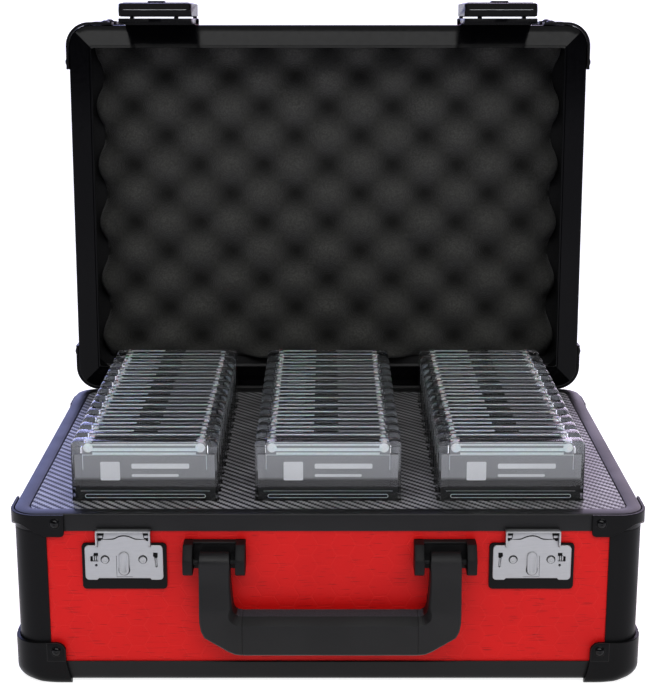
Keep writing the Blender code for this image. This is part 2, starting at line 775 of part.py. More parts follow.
def handle_bracket(name, side, black):
    """A bracket with two eight-sided ears, and the pin that is pressed across them."""
    axis = handle_axis()
    x = side * handle_centres / 2
    top = axis.z + bracket_above_axis
    foot = top - bracket_height
    seat = front + panel_face - join_gap
    half = bracket_width / 2
    bm = add_box(bmesh.new(), (x - half, seat - bracket_plate, foot), (x + half, seat, top))
    plate = piece(name, bm, black, smooth=math.radians(30))
    nose = axis.y - (ear_depth - handle_axis_proud)
    ear = [(seat, foot), (nose + ear_chamfer, foot), (nose, foot + ear_chamfer),
           (nose, top - ear_chamfer), (nose + ear_chamfer, top), (seat, top)]
    ears = bmesh.new()
    for way in (-1, 1):
        ends = sorted((x + way * half, x + way * (half - ear_thickness)))
        add_prism(ears, ear, ends[0], ends[1], "X")
    join(plate, ears)
    pin = arc(axis.yz, handle_pin_radius, 0, 360 - 360 / pin_steps, pin_steps - 1)
    overlap = ear_thickness / 2
    reach = half - ear_thickness + overlap
    return join(plate, add_prism(bmesh.new(), pin, x - reach, x + reach, "X"))


def latch_planes():
    """Depths of the latch's layers, from the panel outwards, and its top."""
    seat = front + panel_face - join_gap
    backing_face = seat - backing_thickness
    catch_back = backing_face - join_gap
    catch_face = catch_back - catch_thickness
    top = rim_top - backing_below_rim
    return seat, backing_face, catch_back, catch_face, top


def latch_backing(name, x, black):
    seat, face, _, _, top = latch_planes()
    centre = (x, top - backing_height / 2)
    outline = rounded_rectangle(backing_width / 2, backing_height / 2, backing_corner, 2, centre)
    plate = piece(name, add_prism(bmesh.new(), outline, face, seat, "Y"), black)
    middle = slide_centre()
    half = slide_stem_width / 2 + slide_fit
    low = middle - slide_stem_height / 2 - slide_fit
    high = middle + slide_stem_height / 2 + slide_travel + slide_fit
    overrun = backing_thickness
    return cut(plate, add_box(bmesh.new(), (x - half, face - overrun, low),
                              (x + half, seat + overrun, high)))


def slide_centre():
    """Height of the middle of the thumb slide at rest."""
    top = rim_top - backing_below_rim - catch_below_backing
    return top - slide_drop - slide_height / 2


def latch_catch(name, x, silver):
    """The riveted catch plate: a flat face, a slot for the slide and the open hook box."""
    _, _, back, face, backing_top = latch_planes()
    top = backing_top - catch_below_backing
    foot = top - catch_height
    half = catch_width / 2
    notch = catch_notch_width / 2
    bend = catch_corner
    outline = arc((x + half - bend, top - bend), bend, 0, 90, 3)
    outline += arc((x - half + bend, top - bend), bend, 90, 180, 3)
    outline += arc((x - half + bend, foot + bend), bend, 180, 270, 3)
    outline += [(x - notch - catch_notch_height, foot), (x - notch, foot + catch_notch_height),
                (x + notch, foot + catch_notch_height), (x + notch + catch_notch_height, foot)]
    outline += arc((x + half - bend, foot + bend), bend, 270, 360, 3)
    plate = piece(name, add_prism(bmesh.new(), outline, face, back, "Y"), silver)
    extras = bmesh.new()
    box_half = hook_box_width / 2
    crown = top + hook_box_height
    root = top - hook_box_wall
    nose = face - hook_box_depth
    lean = [(back, root), (face, root), (face - hook_box_lean, crown),
            (back - hook_box_lean, crown)]
    cheek_half = box_half - hook_box_wall
    add_prism(extras, lean, x - box_half + hook_box_wall / 2, x + box_half - hook_box_wall / 2,
              "X")
    join(plate, extras)
    cheeks = bmesh.new()
    side = [(back - catch_thickness / 2, root), (nose + hook_box_wall, root), (nose, top),
            (nose, crown - hook_box_wall), (nose + hook_box_wall, crown),
            (face + catch_thickness / 2 - hook_box_lean, crown)]
    for way in (-1, 1):
        ends = sorted((x + way * box_half, x + way * cheek_half))
        add_prism(cheeks, side, ends[0], ends[1], "X")
    join(plate, cheeks)
    heads = bmesh.new()
    for way in (-1, 1):
        add_rivet(heads, (x + way * rivet_spread / 2, top - rivet_drop), rivet_radius,
                  rivet_height + catch_thickness / 2, face + catch_thickness / 2, -1, "Y")
    join(plate, heads)
    middle = slide_centre()
    slot_half = slide_stem_width / 2 + slide_fit
    low = middle - slide_stem_height / 2 - slide_fit
    high = middle + slide_stem_height / 2 + slide_travel + slide_fit
    overrun = catch_thickness
    return cut(plate, add_box(bmesh.new(), (x - slot_half, face - overrun, low),
                              (x + slot_half, back + overrun, high)))


def latch_slide(name, x, silver, carrier):
    """The thumb slide: a round-ended tab on a stem that runs in the catch plate's slot."""
    seat, _, _, face, _ = latch_planes()
    middle = slide_centre()
    half = slide_width / 2
    rise = slide_height / 2 - half
    outline = arc((x, middle + rise), half, 0, 180, round_steps)
    outline += arc((x, middle - rise), half, 180, 360, round_steps)
    near = face - slide_fit
    tab = piece(name, add_prism(bmesh.new(), outline, near - slide_thickness, near, "Y"), silver,
                carrier, math.radians(40))
    stem_half = slide_stem_width / 2
    stem = add_box(bmesh.new(),
                   (x - stem_half, near - slide_thickness / 2, middle - slide_stem_height / 2),
                   (x + stem_half, seat, middle + slide_stem_height / 2))
    return join(tab, stem)


def lever_planes():
    """Depths of the lid latch's layers and the lever's axis, with the lid shut."""
    mount_back = front - join_gap
    mount_face = mount_back - mount_thickness
    lever_back = mount_face - lever_standoff
    lever_face = lever_back - lever_thickness
    foot = lid_plane - lever_overhang
    crown = foot + lever_length
    axis = ((lever_back + lever_face) / 2, crown - lever_end_inset)
    return mount_back, mount_face, lever_back, lever_face, foot, crown, axis


def lever_mount(name, x, black, carrier):
    """The fixed plate on the lid, with two lugs and the pin that carries the lever."""
    back, face, _, _, _, crown, axis = lever_planes()
    half = mount_width / 2
    low = lid_plane + mount_start
    plate = piece(name, add_box(bmesh.new(), (x - half, face, low), (x + half, back, crown)),
                  black, carrier)
    lugs = bmesh.new()
    lug = [(face + mount_thickness / 2, axis[1] - lug_radius)]
    lug += arc(axis, lug_radius, 270, 90, round_steps)
    lug += [(face + mount_thickness / 2, axis[1] + lug_radius)]
    for way in (-1, 1):
        middle = x + way * lug_spread / 2
        add_prism(lugs, lug, middle - lug_width / 2, middle + lug_width / 2, "X")
    join(plate, lugs)
    pin = arc(axis, lever_pin_radius, 0, 360 - 360 / pin_steps, pin_steps - 1)
    reach = lug_spread / 2 + lug_width / 2 + lever_pin_overrun
    return join(plate, add_prism(bmesh.new(), pin, x - reach, x + reach, "X"))


def latch_lever(name, x, black, carrier):
    """The hinged lever: a deep cover with a hook for the catch box and a release button."""
    _, _, back, face, foot, crown, axis = lever_planes()
    half = lever_width / 2
    end = lever_thickness / 2
    outline = [(back, foot), (face + lever_bevel, foot), (face, foot + lever_bevel)]
    outline += arc(axis, end, 180, 0, round_steps)
    lever = piece(name, add_prism(bmesh.new(), outline, x - half, x + half, "X"), black, carrier,
                  math.radians(40))
    notches = bmesh.new()
    clear = lug_radius + lug_fit
    for way in (-1, 1):
        middle = x + way * lug_spread / 2
        wide = lug_width / 2 + lug_fit
        add_box(notches, (middle - wide, face - lever_bevel, axis[1] - clear),
                (middle + wide, back + lever_bevel, axis[1] + end + clear))
    cut(lever, notches)
    bore = arc(axis, lever_pin_radius + lever_bore_fit, 0, 360 - 360 / pin_steps, pin_steps - 1)
    reach = lug_spread / 2 + lug_width / 2 + lever_pin_overrun + lever_bore_fit
    cut(lever, add_prism(bmesh.new(), bore, x - reach, x + reach, "X"))
    hook_top = lid_plane - hook_below_rim
    extras = add_box(bmesh.new(),
                     (x - hook_width / 2, back - lever_bevel, hook_top - hook_thickness),
                     (x + hook_width / 2, back + hook_reach, hook_top))
    middle = foot + button_from_end
    add_box(extras, (x - button_width / 2, face - button_height, middle - button_depth / 2),
            (x + button_width / 2, face + lever_bevel, middle + button_depth / 2))
    return join(lever, extras)


def build():
    for obj in list(bpy.data.objects):
        bpy.data.objects.remove(obj, do_unlink=True)
    red = finish("red_laminate", "C2211E", 0.45)
    black = finish("black_anodised_aluminium", "232324", 0.5, 0.3)
    gloss = finish("black_gloss_frame", "121213", 0.15)
    cap_black = finish("black_powder_coated_steel", "1C1C1D", 0.5)
    silver = finish("nickel_plated_steel", "B9BABB", 0.3, 0.9)
    foam = finish("black_foam", "2A2A2B", 0.95)
    carbon = finish("carbon_pattern_sheet", "2B2B2D", 0.4)
    plastic = finish("clear_acrylic", "D8DCDF", 0.08, 0.0, 0.5)

    lid = pivot("lid_pivot", hinge_axis, -open_angle)
    base_shell(red, black, cap_black)
    lid_shell(red, black, gloss, cap_black, lid)
    hinge(black, lid)
    insert_and_sheet(foam, carbon)
    for name, x in zip(("left", "middle", "right"), row_centres()):
        row = pivot(f"slab_row_{name}_pivot", (x, 0.0, 0.0))
        slab_row(f"slab_row_{name}", x, plastic, row)
    lid_foam(foam, lid)
    swing = pivot("handle_pivot", handle_axis())
    handle(black, swing)
    for hand, side in (("left", -1), ("right", 1)):
        x = side * latch_centres / 2
        handle_bracket(f"handle_bracket_{hand}", side, black)
        latch_backing(f"latch_backing_{hand}", x, black)
        latch_catch(f"latch_catch_{hand}", x, silver)
        thumb = pivot(f"latch_slide_{hand}_pivot", (x, front, slide_centre()))
        latch_slide(f"latch_slide_{hand}", x, silver, thumb)
        lever_mount(f"lever_mount_{hand}", x, black, lid)
        axis = lever_planes()[-1]
        turn = pivot(f"latch_lever_{hand}_pivot", (x, *axis), carrier=lid)
        latch_lever(f"latch_lever_{hand}", x, black, turn)


build()
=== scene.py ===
# Graded card storage case, dressed for a studio picture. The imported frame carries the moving
# parts, and each operator below makes one group of pieces with its finish.

import json
import math

import bmesh
import bpy
from mathutils import Matrix, Vector

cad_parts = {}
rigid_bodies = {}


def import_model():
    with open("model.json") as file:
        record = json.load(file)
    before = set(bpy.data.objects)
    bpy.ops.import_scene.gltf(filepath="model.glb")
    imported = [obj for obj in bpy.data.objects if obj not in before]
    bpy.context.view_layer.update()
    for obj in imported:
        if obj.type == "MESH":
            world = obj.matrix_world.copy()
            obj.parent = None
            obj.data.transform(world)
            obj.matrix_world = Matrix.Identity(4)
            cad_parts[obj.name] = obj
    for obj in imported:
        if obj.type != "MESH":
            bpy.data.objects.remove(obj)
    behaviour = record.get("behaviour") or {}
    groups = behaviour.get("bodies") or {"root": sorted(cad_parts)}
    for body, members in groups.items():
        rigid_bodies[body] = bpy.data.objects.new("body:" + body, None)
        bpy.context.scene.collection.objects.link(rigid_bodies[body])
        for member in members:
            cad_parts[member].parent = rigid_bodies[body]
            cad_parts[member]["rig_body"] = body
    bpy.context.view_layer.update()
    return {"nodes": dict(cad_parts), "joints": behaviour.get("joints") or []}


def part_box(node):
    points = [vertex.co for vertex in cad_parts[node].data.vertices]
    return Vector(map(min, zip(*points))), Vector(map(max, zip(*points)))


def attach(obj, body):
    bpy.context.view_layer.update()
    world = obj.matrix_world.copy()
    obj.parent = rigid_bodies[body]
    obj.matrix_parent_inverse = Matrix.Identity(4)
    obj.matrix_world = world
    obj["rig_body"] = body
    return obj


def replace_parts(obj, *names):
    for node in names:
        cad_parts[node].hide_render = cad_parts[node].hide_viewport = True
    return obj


bl_info = {
    "name": "Graded Card Storage Case",
    "version": (1, 0, 0),
    "blender": (4, 5, 0),
    "location": "View3D > Sidebar > Card Case",
    "description": "Dresses the packed card case: finishes, foam, card slabs, latches and studio",
    "category": "Object",
}

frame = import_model()

MM = 0.001
HANDS = ("left", "right")
ROWS = ("left", "middle", "right")
ENDS = ("front_left", "front_right", "rear_left", "rear_right")
HINGE = next(joint for joint in frame["joints"] if joint["name"] == "lid_hinge")
HINGE_POINT = Vector(HINGE["pos_m"])
OPEN_ANGLE = math.radians(92.73)
CASE_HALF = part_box("base_rim")[1]
RIM_TOP = CASE_HALF.z
LID_PLANE = RIM_TOP + 0.4 * MM
LID_DEPTH = 60.0 * MM
FOOT_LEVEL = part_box("base_cap_front_left")[0].z
CORNER_RADIUS = 14.0 * MM
HINGE_BORE = 2.25 * MM
HINGE_SPAN = 127.8 * MM
# axes as (y, z), and how far the levers stand from the middle and reach to each side
HANDLE_AXIS = (-133.0 * MM, 72.5 * MM)
LEVER_AXIS = (-135.0 * MM, 121.9 * MM)
LEVER_PLACE = 112.85 * MM
LEVER_HALF = 23.8 * MM


class CaseSizes(bpy.types.PropertyGroup):
    """Sizes of the dressed pieces that a user would change."""
    slab_count: bpy.props.IntProperty(
        name="Slabs in a row", description="How many card slabs stand in each row", default=14)
    slab_pitch: bpy.props.FloatProperty(
        name="Slab pitch", description="Distance from one slab to the next", default=15.0 * MM,
        unit="LENGTH")
    slab_thickness: bpy.props.FloatProperty(
        name="Slab thickness", description="Thickness of one card slab", default=7.0 * MM,
        unit="LENGTH")
    slab_corner: bpy.props.FloatProperty(
        name="Slab corner", description="Corner radius of a card slab", default=3.0 * MM,
        unit="LENGTH")
    weave_pitch: bpy.props.FloatProperty(
        name="Weave pitch", description="Width of one strand of the sheet's twill pattern",
        default=1.6 * MM, unit="LENGTH")
    hexagon_height: bpy.props.FloatProperty(
        name="Hexagon height", description="Height of one hexagon embossed in the laminate",
        default=12.1 * MM, unit="LENGTH")
    foam_pitch_x: bpy.props.FloatProperty(
        name="Foam pitch across", description="Distance between foam peaks across the lid",
        default=46.0 * MM, unit="LENGTH")
    foam_pitch_y: bpy.props.FloatProperty(
        name="Foam pitch up", description="Distance between foam peaks up the lid",
        default=41.35 * MM, unit="LENGTH")
    foam_relief: bpy.props.FloatProperty(
        name="Foam relief", description="Height of a foam peak over a hollow",
        default=14.4 * MM, unit="LENGTH")


class CaseColours(bpy.types.PropertyGroup):
    """Colours of the finishes, as sRGB hex codes."""
    laminate: bpy.props.StringProperty(
        name="Laminate", description="Red of the side boards", default="C41E1C")
    frame_black: bpy.props.StringProperty(
        name="Frame", description="Anodised edge frames and posts", default="1D1D1E")
    steel_black: bpy.props.StringProperty(
        name="Corner steel", description="Powder-coated caps and guards", default="161617")
    plastic_black: bpy.props.StringProperty(
        name="Handle plastic", description="Moulded handle and brackets", default="232324")
    foam: bpy.props.StringProperty(
        name="Foam", description="Open-cell foam of the lid and the insert", default="2D2D2E")
    nickel: bpy.props.StringProperty(
        name="Nickel", description="Plated latch plates", default="9C9D9F")


def linear(code):
    """Linear RGBA from an sRGB hex code."""
    channels = [int(code[i:i + 2], 16) / 255 for i in (0, 2, 4)]
    values = [c / 12.92 if c <= 0.04045 else ((c + 0.055) / 1.055) ** 2.4 for c in channels]
    return (*values, 1.0)


def add_node(tree, kind, *values, **settings):
    """Add a shader node and return its first output in use. Values go to its inputs in order,
    and a setting to the input of that name or else to the node. Sockets are linked."""
    node = tree.nodes.new("ShaderNode" + kind)
    named = []
    for key, value in settings.items():
        if key.replace("_", " ") in node.inputs:
            named.append((node.inputs[key.replace("_", " ")], value))
        else:
            setattr(node, key, value)
    usable = [socket for socket in node.inputs if socket.enabled]
    for socket, value in list(zip(usable, values)) + named:
        if isinstance(value, bpy.types.NodeSocket):
            tree.links.new(value, socket)
        else:
            socket.default_value = value
    return next(socket for socket in node.outputs if socket.enabled)


def start_material(name, code, roughness, on_lid=False, **more):
    """A Principled material with uniform values on its own sockets, and its coordinates."""
    material = bpy.data.materials.new(name)
    material.use_nodes = True
    material.diffuse_color = linear(code)
    tree = material.node_tree
    shader = tree.nodes["Principled BSDF"]
    shader.inputs["Base Color"].default_value = linear(code)
    shader.inputs["Roughness"].default_value = roughness
    for key, value in more.items():
        shader.inputs[key.replace("_", " ")].default_value = value
    return material, tree, shader, plane_coordinates(tree, on_lid)


def feed(shader, **sources):
    """Link patterns to the shader's sockets; relief is a pair of height and depth in metres."""
    tree = shader.id_data
    if "relief" in sources:
        height, depth = sources.pop("relief")
        sources["Normal"] = add_node(tree, "Bump", Strength=1.0, Distance=depth, Height=height)
    for key, source in sources.items():
        tree.links.new(source, shader.inputs[key.replace("_", " ")])


def plane_coordinates(tree, on_lid):
    """Object coordinates in metres; the lid's are turned back to where it is shut."""
    where = add_node(tree, "TexCoord").node.outputs["Object"]
    if not on_lid:
        return where
    away = add_node(tree, "VectorMath", where, HINGE_POINT, operation="SUBTRACT")
    turned = add_node(tree, "VectorRotate", away, Angle=OPEN_ANGLE, rotation_type="X_AXIS")
    return add_node(tree, "VectorMath", turned, HINGE_POINT, operation="ADD")


def grain(tree, where, size, detail=2.0, stretch=(1.0, 1.0, 1.0)):
    """Noise whose features are about size metres across."""
    scaled = add_node(tree, "VectorMath", where, tuple(k / size for k in stretch),
                      operation="MULTIPLY")
    return add_node(tree, "TexNoise", scaled, Scale=1.0, Detail=detail)


def hexagon_edge(tree, across, up, height):
    """0 in the middle of each flat-topped hexagon and 0.5 on its outline."""
    half = (math.sqrt(3) / 2, 0.5, 0.0)
    low = tuple(-k for k in half)
    point = add_node(tree, "CombineXYZ", add_node(tree, "Math", across, height, operation="DIVIDE"),
                     add_node(tree, "Math", up, height, operation="DIVIDE"))
    offsets, reaches = [], []
    for shift in ((0.0, 0.0, 0.0), half):
        moved = add_node(tree, "VectorMath", point, shift, operation="ADD")
        offsets.append(add_node(tree, "VectorMath", moved, half, low, operation="WRAP"))
        reaches.append(add_node(tree, "VectorMath", offsets[-1], operation="LENGTH"))
    nearer = add_node(tree, "Math", *reaches, operation="LESS_THAN")
    chosen = add_node(tree, "Mix", nearer, offsets[1], offsets[0], data_type="VECTOR")
    folded = add_node(tree, "VectorMath", chosen, operation="ABSOLUTE")
    slant = add_node(tree, "VectorMath", folded, half, operation="DOT_PRODUCT")
    upright = add_node(tree, "SeparateXYZ", folded).node.outputs["Y"]
    return add_node(tree, "Math", slant, upright, operation="MAXIMUM")


def laminate(name, on_lid, flat=False):
    # Melamine laminate, pressed between embossed plates: a satin red skin that shows faint
    # hexagon outlines and short dark drag lines, and breaks up its reflections a little. The
    # lid's boards are duller, so that they stay red when light grazes them
    scene = bpy.context.scene
    material, tree, shader, where = start_material(
        name, scene.case_colours.laminate, 0.45, on_lid,
        Specular_IOR_Level=0.05 if on_lid else 0.12)
    x, y, z = add_node(tree, "SeparateXYZ", where).node.outputs
    across = x if flat else add_node(tree, "Math", x, y, operation="ADD")
    up = y if flat else z
    edge = hexagon_edge(tree, across, up, scene.case_sizes.hexagon_height)
    groove = add_node(tree, "MapRange", edge, 0.455, 0.49, 0.0, 1.0,
                      interpolation_type="SMOOTHSTEP")
    # drag lines are about 13 mm long and 0.6 mm high, drawn coarse enough to show
    drag = grain(tree, add_node(tree, "CombineXYZ", X=across, Z=up), 13.0 * MM, 1.0,
                 (1.0, 1.0, 22.0))
    dark = add_node(tree, "MapRange", drag, 0.64, 0.71, 0.0, 0.95,
                    interpolation_type="SMOOTHSTEP")
    cloud = grain(tree, where, 60.0 * MM)
    patch = add_node(tree, "MapRange", cloud, 0.3, 0.7)
    tone = add_node(tree, "Mix", patch, linear("BA110F"), linear("AD0E0E"), data_type="RGBA")
    tone = add_node(tree, "Mix", dark, tone, linear("7A0B0C"), data_type="RGBA")
    light = add_node(tree, "Math", groove, 0.13, operation="MULTIPLY")
    tone = add_node(tree, "Mix", light, tone, linear("D0302A"), data_type="RGBA")
    height = add_node(tree, "Math", add_node(tree, "Math", drag, 0.3, operation="MULTIPLY"),
                      groove, operation="SUBTRACT")
    feed(shader, Base_Color=tone, relief=(height, 0.08 * MM),
         Roughness=add_node(tree, "MapRange", cloud, 0.3, 0.7, 0.38, 0.48))
    return material


def anodised_aluminium(name, on_lid, gloss=0.17):
    # Extruded aluminium, satin etched and anodised black: a soft grey sheen with die lines;
    # the posts are etched longer and shine less
    material, tree, shader, where = start_material(
        name, bpy.context.scene.case_colours.frame_black, 0.42, on_lid,
        Specular_IOR_Level=gloss)
    fine = grain(tree, where, 0.7 * MM)
    worn = grain(tree, where, 30.0 * MM, 3.0)
    tone = add_node(tree, "Mix", fine, linear("0A0A0B"), linear("111112"), data_type="RGBA")
    feed(shader, Base_Color=tone, relief=(fine, 0.03 * MM),
         Roughness=add_node(tree, "MapRange", worn, 0.3, 0.7, 0.36, 0.46))
    return material


def polished_frame():
    # Aluminium frame, mitred, buffed and lacquered gloss black: near-mirror with a faint
    # orange peel and a hairline joint across each corner. Its faces are shaded 12 degrees
    # steeper than they are cut (a slope of 0.212), so that the upper one mirrors the levers
    material, tree, shader, where = start_material(
        "gloss_lacquered_aluminium", "030304", 0.12, True, Specular_IOR_Level=0.065)
    relief, steeper = 0.08 * MM, 0.212
    sides = [add_node(tree, "Math", side, operation="ABSOLUTE")
             for side in list(add_node(tree, "SeparateXYZ", where).node.outputs)[:2]]
    ahead = add_node(tree, "Math", *sides, operation="SUBTRACT")
    off = add_node(tree, "Math", ahead, CASE_HALF.x - CASE_HALF.y, operation="SUBTRACT")
    joint = add_node(tree, "Math", add_node(tree, "Math", off, operation="ABSOLUTE"), 0.16 * MM,
                     operation="LESS_THAN")
    peel = grain(tree, where, 3.0 * MM)
    height = add_node(tree, "Math", add_node(tree, "Math", peel, 0.05, operation="MULTIPLY"),
                      joint, operation="SUBTRACT")
    inwards = add_node(tree, "Math", *(add_node(tree, "Math", half, side, operation="SUBTRACT")
                                       for half, side in zip(CASE_HALF, sides)),
                       operation="MINIMUM")
    slant = add_node(tree, "Math", inwards, steeper / relief, operation="MULTIPLY")
    feed(shader, relief=(add_node(tree, "Math", height, slant, operation="ADD"), relief),
         Roughness=add_node(tree, "MapRange", peel, 0.3, 0.7, 0.09, 0.14))
    return material


def felt_lining():
    # Needled polyester felt glued to the boards: dead black, with short matted fibres
    material, tree, shader, where = start_material(
        "needled_felt_lining", "121213", 0.95, True, Sheen_Weight=0.1, Specular_IOR_Level=0.05)
    fibre = grain(tree, where, 1.3 * MM, 4.0, (1.0, 1.0, 0.4))
    tone = add_node(tree, "Mix", fibre, linear("131314"), linear("242425"), data_type="RGBA")
    feed(shader, Base_Color=tone, relief=(fibre, 0.2 * MM))
    return material


def coated_steel(name, on_lid, gloss=0.07, rough=0.33):
    # Pressed sheet steel, powder coated black: semi-matt with a fine orange-peel texture;
    # the levers are coated smoother and mirror more sharply
    material, tree, shader, where = start_material(
        name, bpy.context.scene.case_colours.steel_black, rough, on_lid,
        Specular_IOR_Level=gloss)
    peel = grain(tree, where, 1.1 * MM)
    tone = add_node(tree, "Mix", peel, linear("080809"), linear("0E0E0F"), data_type="RGBA")
    feed(shader, Base_Color=tone, relief=(peel, 0.03 * MM),
         Roughness=add_node(tree, "MapRange", peel, 0.3, 0.7, rough, rough + 0.1))
    return material


def lacquered_rivet():
    # Steel rivets, dipped in black lacquer: small wet-looking glints on near-black domes
    material, tree, shader, where = start_material(
        "black_lacquered_rivets", "050506", 0.12, Specular_IOR_Level=0.17)
    runs = grain(tree, where, 1.4 * MM)
    feed(shader, relief=(runs, 0.02 * MM),
         Roughness=add_node(tree, "MapRange", runs, 0.3, 0.7, 0.08, 0.16))
    return material


def moulded_plastic(name, gloss, pale="131314"):
    # Injection-moulded polypropylene with a spark-eroded grain: dull, with a soft wide sheen,
    # duller on the brackets, and pale and matt on the top of the grip as a painted highlight
    material, tree, shader, where = start_material(
        name, bpy.context.scene.case_colours.plastic_black, 0.42, Specular_IOR_Level=gloss)
    grit = grain(tree, where, 0.8 * MM, 3.0)
    patches = grain(tree, where, 22.0 * MM)
    tone = add_node(tree, "Mix", grit, linear("0A0A0B"), linear(pale), data_type="RGBA")
    feed(shader, Base_Color=tone, relief=(grit, 0.06 * MM),
         Roughness=add_node(tree, "MapRange", patches, 0.35, 0.65, 0.42, 0.54))
    return material


def nickel_plate():
    # Stamped steel with satin nickel plate: pale even grey, faint rolling lines, soft glints
    material, tree, shader, where = start_material(
        "satin_nickel_plated_steel", bpy.context.scene.case_colours.nickel, 0.48, Metallic=1.0)
    lines = grain(tree, where, 0.5 * MM, 2.0, (0.08, 1.0, 1.0))
    feed(shader, relief=(lines, 0.01 * MM),
         Roughness=add_node(tree, "MapRange", lines, 0.3, 0.7, 0.44, 0.54))
    return material


def open_cell_foam(name, on_lid):
    # Charcoal polyurethane foam, cut open: no gloss, a dusty rim of light and open cells; on the lid's pad
    # painted shade darkens the hollows. The 0.5 mm cells
    # are drawn 1.4 mm across so that they show
    material, tree, shader, where = start_material(
        name, bpy.context.scene.case_colours.foam, 0.97, on_lid, Sheen_Weight=0.12,
        Sheen_Roughness=0.6, Specular_IOR_Level=0.1)
    scaled = add_node(tree, "VectorMath", where, (1 / (1.4 * MM),) * 3, operation="MULTIPLY")
    cells = add_node(tree, "TexVoronoi", scaled, Scale=1.0)
    cloud = grain(tree, where, 18.0 * MM, 3.0)
    inside = add_node(tree, "MapRange", cells, 0.15, 0.75)
    tone = add_node(tree, "Mix", inside, linear("3C3C3A"), linear("2A2A28"), data_type="RGBA")
    dust = add_node(tree, "MapRange", cloud, 0.3, 0.7, 0.0, 0.4)
    tone = add_node(tree, "Mix", dust, tone, linear("2B2B29"), data_type="RGBA")
    if on_lid:
        # painted shade: the tone darkens with depth into the hollows of the relief
        level = add_node(tree, "SeparateXYZ", where).node.outputs["Z"]
        hollow = add_node(tree, "MapRange", level, LID_PLANE + 39.5 * MM, LID_PLANE + 53.0 * MM)
        tone = add_node(tree, "Mix", hollow, tone, linear("080807"), data_type="RGBA")
    feed(shader, Base_Color=tone, relief=(cells, 0.35 * MM))
    return material


def twill_sheet():
    # Vinyl sheet printed and embossed as 2 x 2 twill: pale printed strands in diagonal steps
    # over dark ones, each brighter along its middle as a painted highlight on its rounded top
    material, tree, shader, where = start_material("twill_embossed_vinyl", "1B1B1C", 0.4,
                                                   Specular_IOR_Level=0.4)
    pitch = bpy.context.scene.case_sizes.weave_pitch
    strands, ridges = [], []
    for side in list(add_node(tree, "SeparateXYZ", where).node.outputs)[:2]:
        strands.append(add_node(tree, "Math", side, pitch, operation="DIVIDE"))
        inside = add_node(tree, "Math", strands[-1], operation="FRACT")
        middle = add_node(tree, "Math", inside, 0.5, operation="SUBTRACT")
        middle = add_node(tree, "Math", middle, operation="ABSOLUTE")
        ridges.append(add_node(tree, "MapRange", middle, 0.2, 0.5, 1.0, 0.0,
                               interpolation_type="SMOOTHSTEP"))
    counts = [add_node(tree, "Math", strand, operation="FLOOR") for strand in strands]
    step = add_node(tree, "Math", add_node(tree, "Math", *counts, operation="ADD"), 4.0, 0.0,
                    operation="WRAP")
    over = add_node(tree, "Math", step, 1.5, operation="LESS_THAN")
    patch = add_node(tree, "MapRange", grain(tree, where, 25.0 * MM), 0.35, 0.65)
    pale = add_node(tree, "Mix", patch, linear("848486"), linear("B0B0B3"), data_type="RGBA")
    # the over strands are print; the ridge factor brightens each along its middle as a painted highlight
    printed_strand_and_painted_highlight = add_node(tree, "Math", over, ridges[1], operation="MULTIPLY")
    tone = add_node(tree, "Mix", printed_strand_and_painted_highlight, linear("080809"), pale, data_type="RGBA")
    feed(shader, Base_Color=tone, relief=(add_node(tree, "Mix", over, *ridges), 0.12 * MM),
         Roughness=add_node(tree, "MapRange", over, 0.0, 1.0, 0.5, 0.32))
    return material


def clear_acrylic():
    # Cast acrylic, flame polished: water clear, with bright bevels and deep black between
    # them where it pipes the dark of the insert
    material, tree, shader, where = start_material(
        "polished_clear_acrylic", "F4F6F8", 0.03, Transmission_Weight=1.0, IOR=1.36)
    haze = grain(tree, where, 12.0 * MM)
    feed(shader, Roughness=add_node(tree, "MapRange", haze, 0.35, 0.65, 0.02, 0.05))
    return material


def frosted_acrylic():
    # Acrylic posts and weld lines, sonic welded: melted faces scatter light and look milky
    material, tree, shader, where = start_material(
        "welded_frosted_acrylic", "F2F3F4", 0.55, IOR=1.49, Subsurface_Weight=0.3,
        Subsurface_Scale=0.002)
    speck = grain(tree, where, 0.9 * MM, 3.0)
    tone = add_node(tree, "Mix", speck, linear("D8DADC"), linear("FFFFFF"), data_type="RGBA")
    feed(shader, Base_Color=tone, relief=(speck, 0.1 * MM))
    return material


def label_paper():
    # Coated label paper, digitally printed: a grey field that darkens towards its foot, a painted reflection of
    # bright surroundings fading out down the slab's face
    material, tree, shader, where = start_material("printed_label_paper", "8A8B8D", 0.45)
    height = add_node(tree, "SeparateXYZ", where).node.outputs["Z"]
    # painted reflection: the grey fades to near black between these heights
    painted_reflection_fade = add_node(tree, "MapRange", height, 108.2 * MM, 110.9 * MM, 1.0, 0.0,
                    interpolation_type="SMOOTHSTEP")
    speck = grain(tree, where, 1.2 * MM)
    tone = add_node(tree, "Mix", speck, linear("868789"), linear("939497"), data_type="RGBA")
    tone = add_node(tree, "Mix", painted_reflection_fade, tone, linear("060607"), data_type="RGBA")
    feed(shader, Base_Color=tone)
    return material


def label_ink():
    # Opaque white ink on the label, screen printed: slightly raised and matt
    material, tree, shader, where = start_material("white_screen_ink", "E4E5E7", 0.5)
    speck = grain(tree, where, 0.6 * MM)
    tone = add_node(tree, "Mix", speck, linear("CFD0D2"), linear("F2F3F5"), data_type="RGBA")
    feed(shader, Base_Color=tone)
    return material


def card_stock():
    # Plain card stock inside the holder: dull and dark, with a faint paper fibre
    material, tree, shader, where = start_material("dark_card_stock", "2A2B2E", 0.7)
    fibre = grain(tree, where, 2.0 * MM, 3.0)
    tone = add_node(tree, "Mix", fibre, linear("0C0C0E"), linear("17181A"), data_type="RGBA")
    feed(shader, Base_Color=tone)
    return material


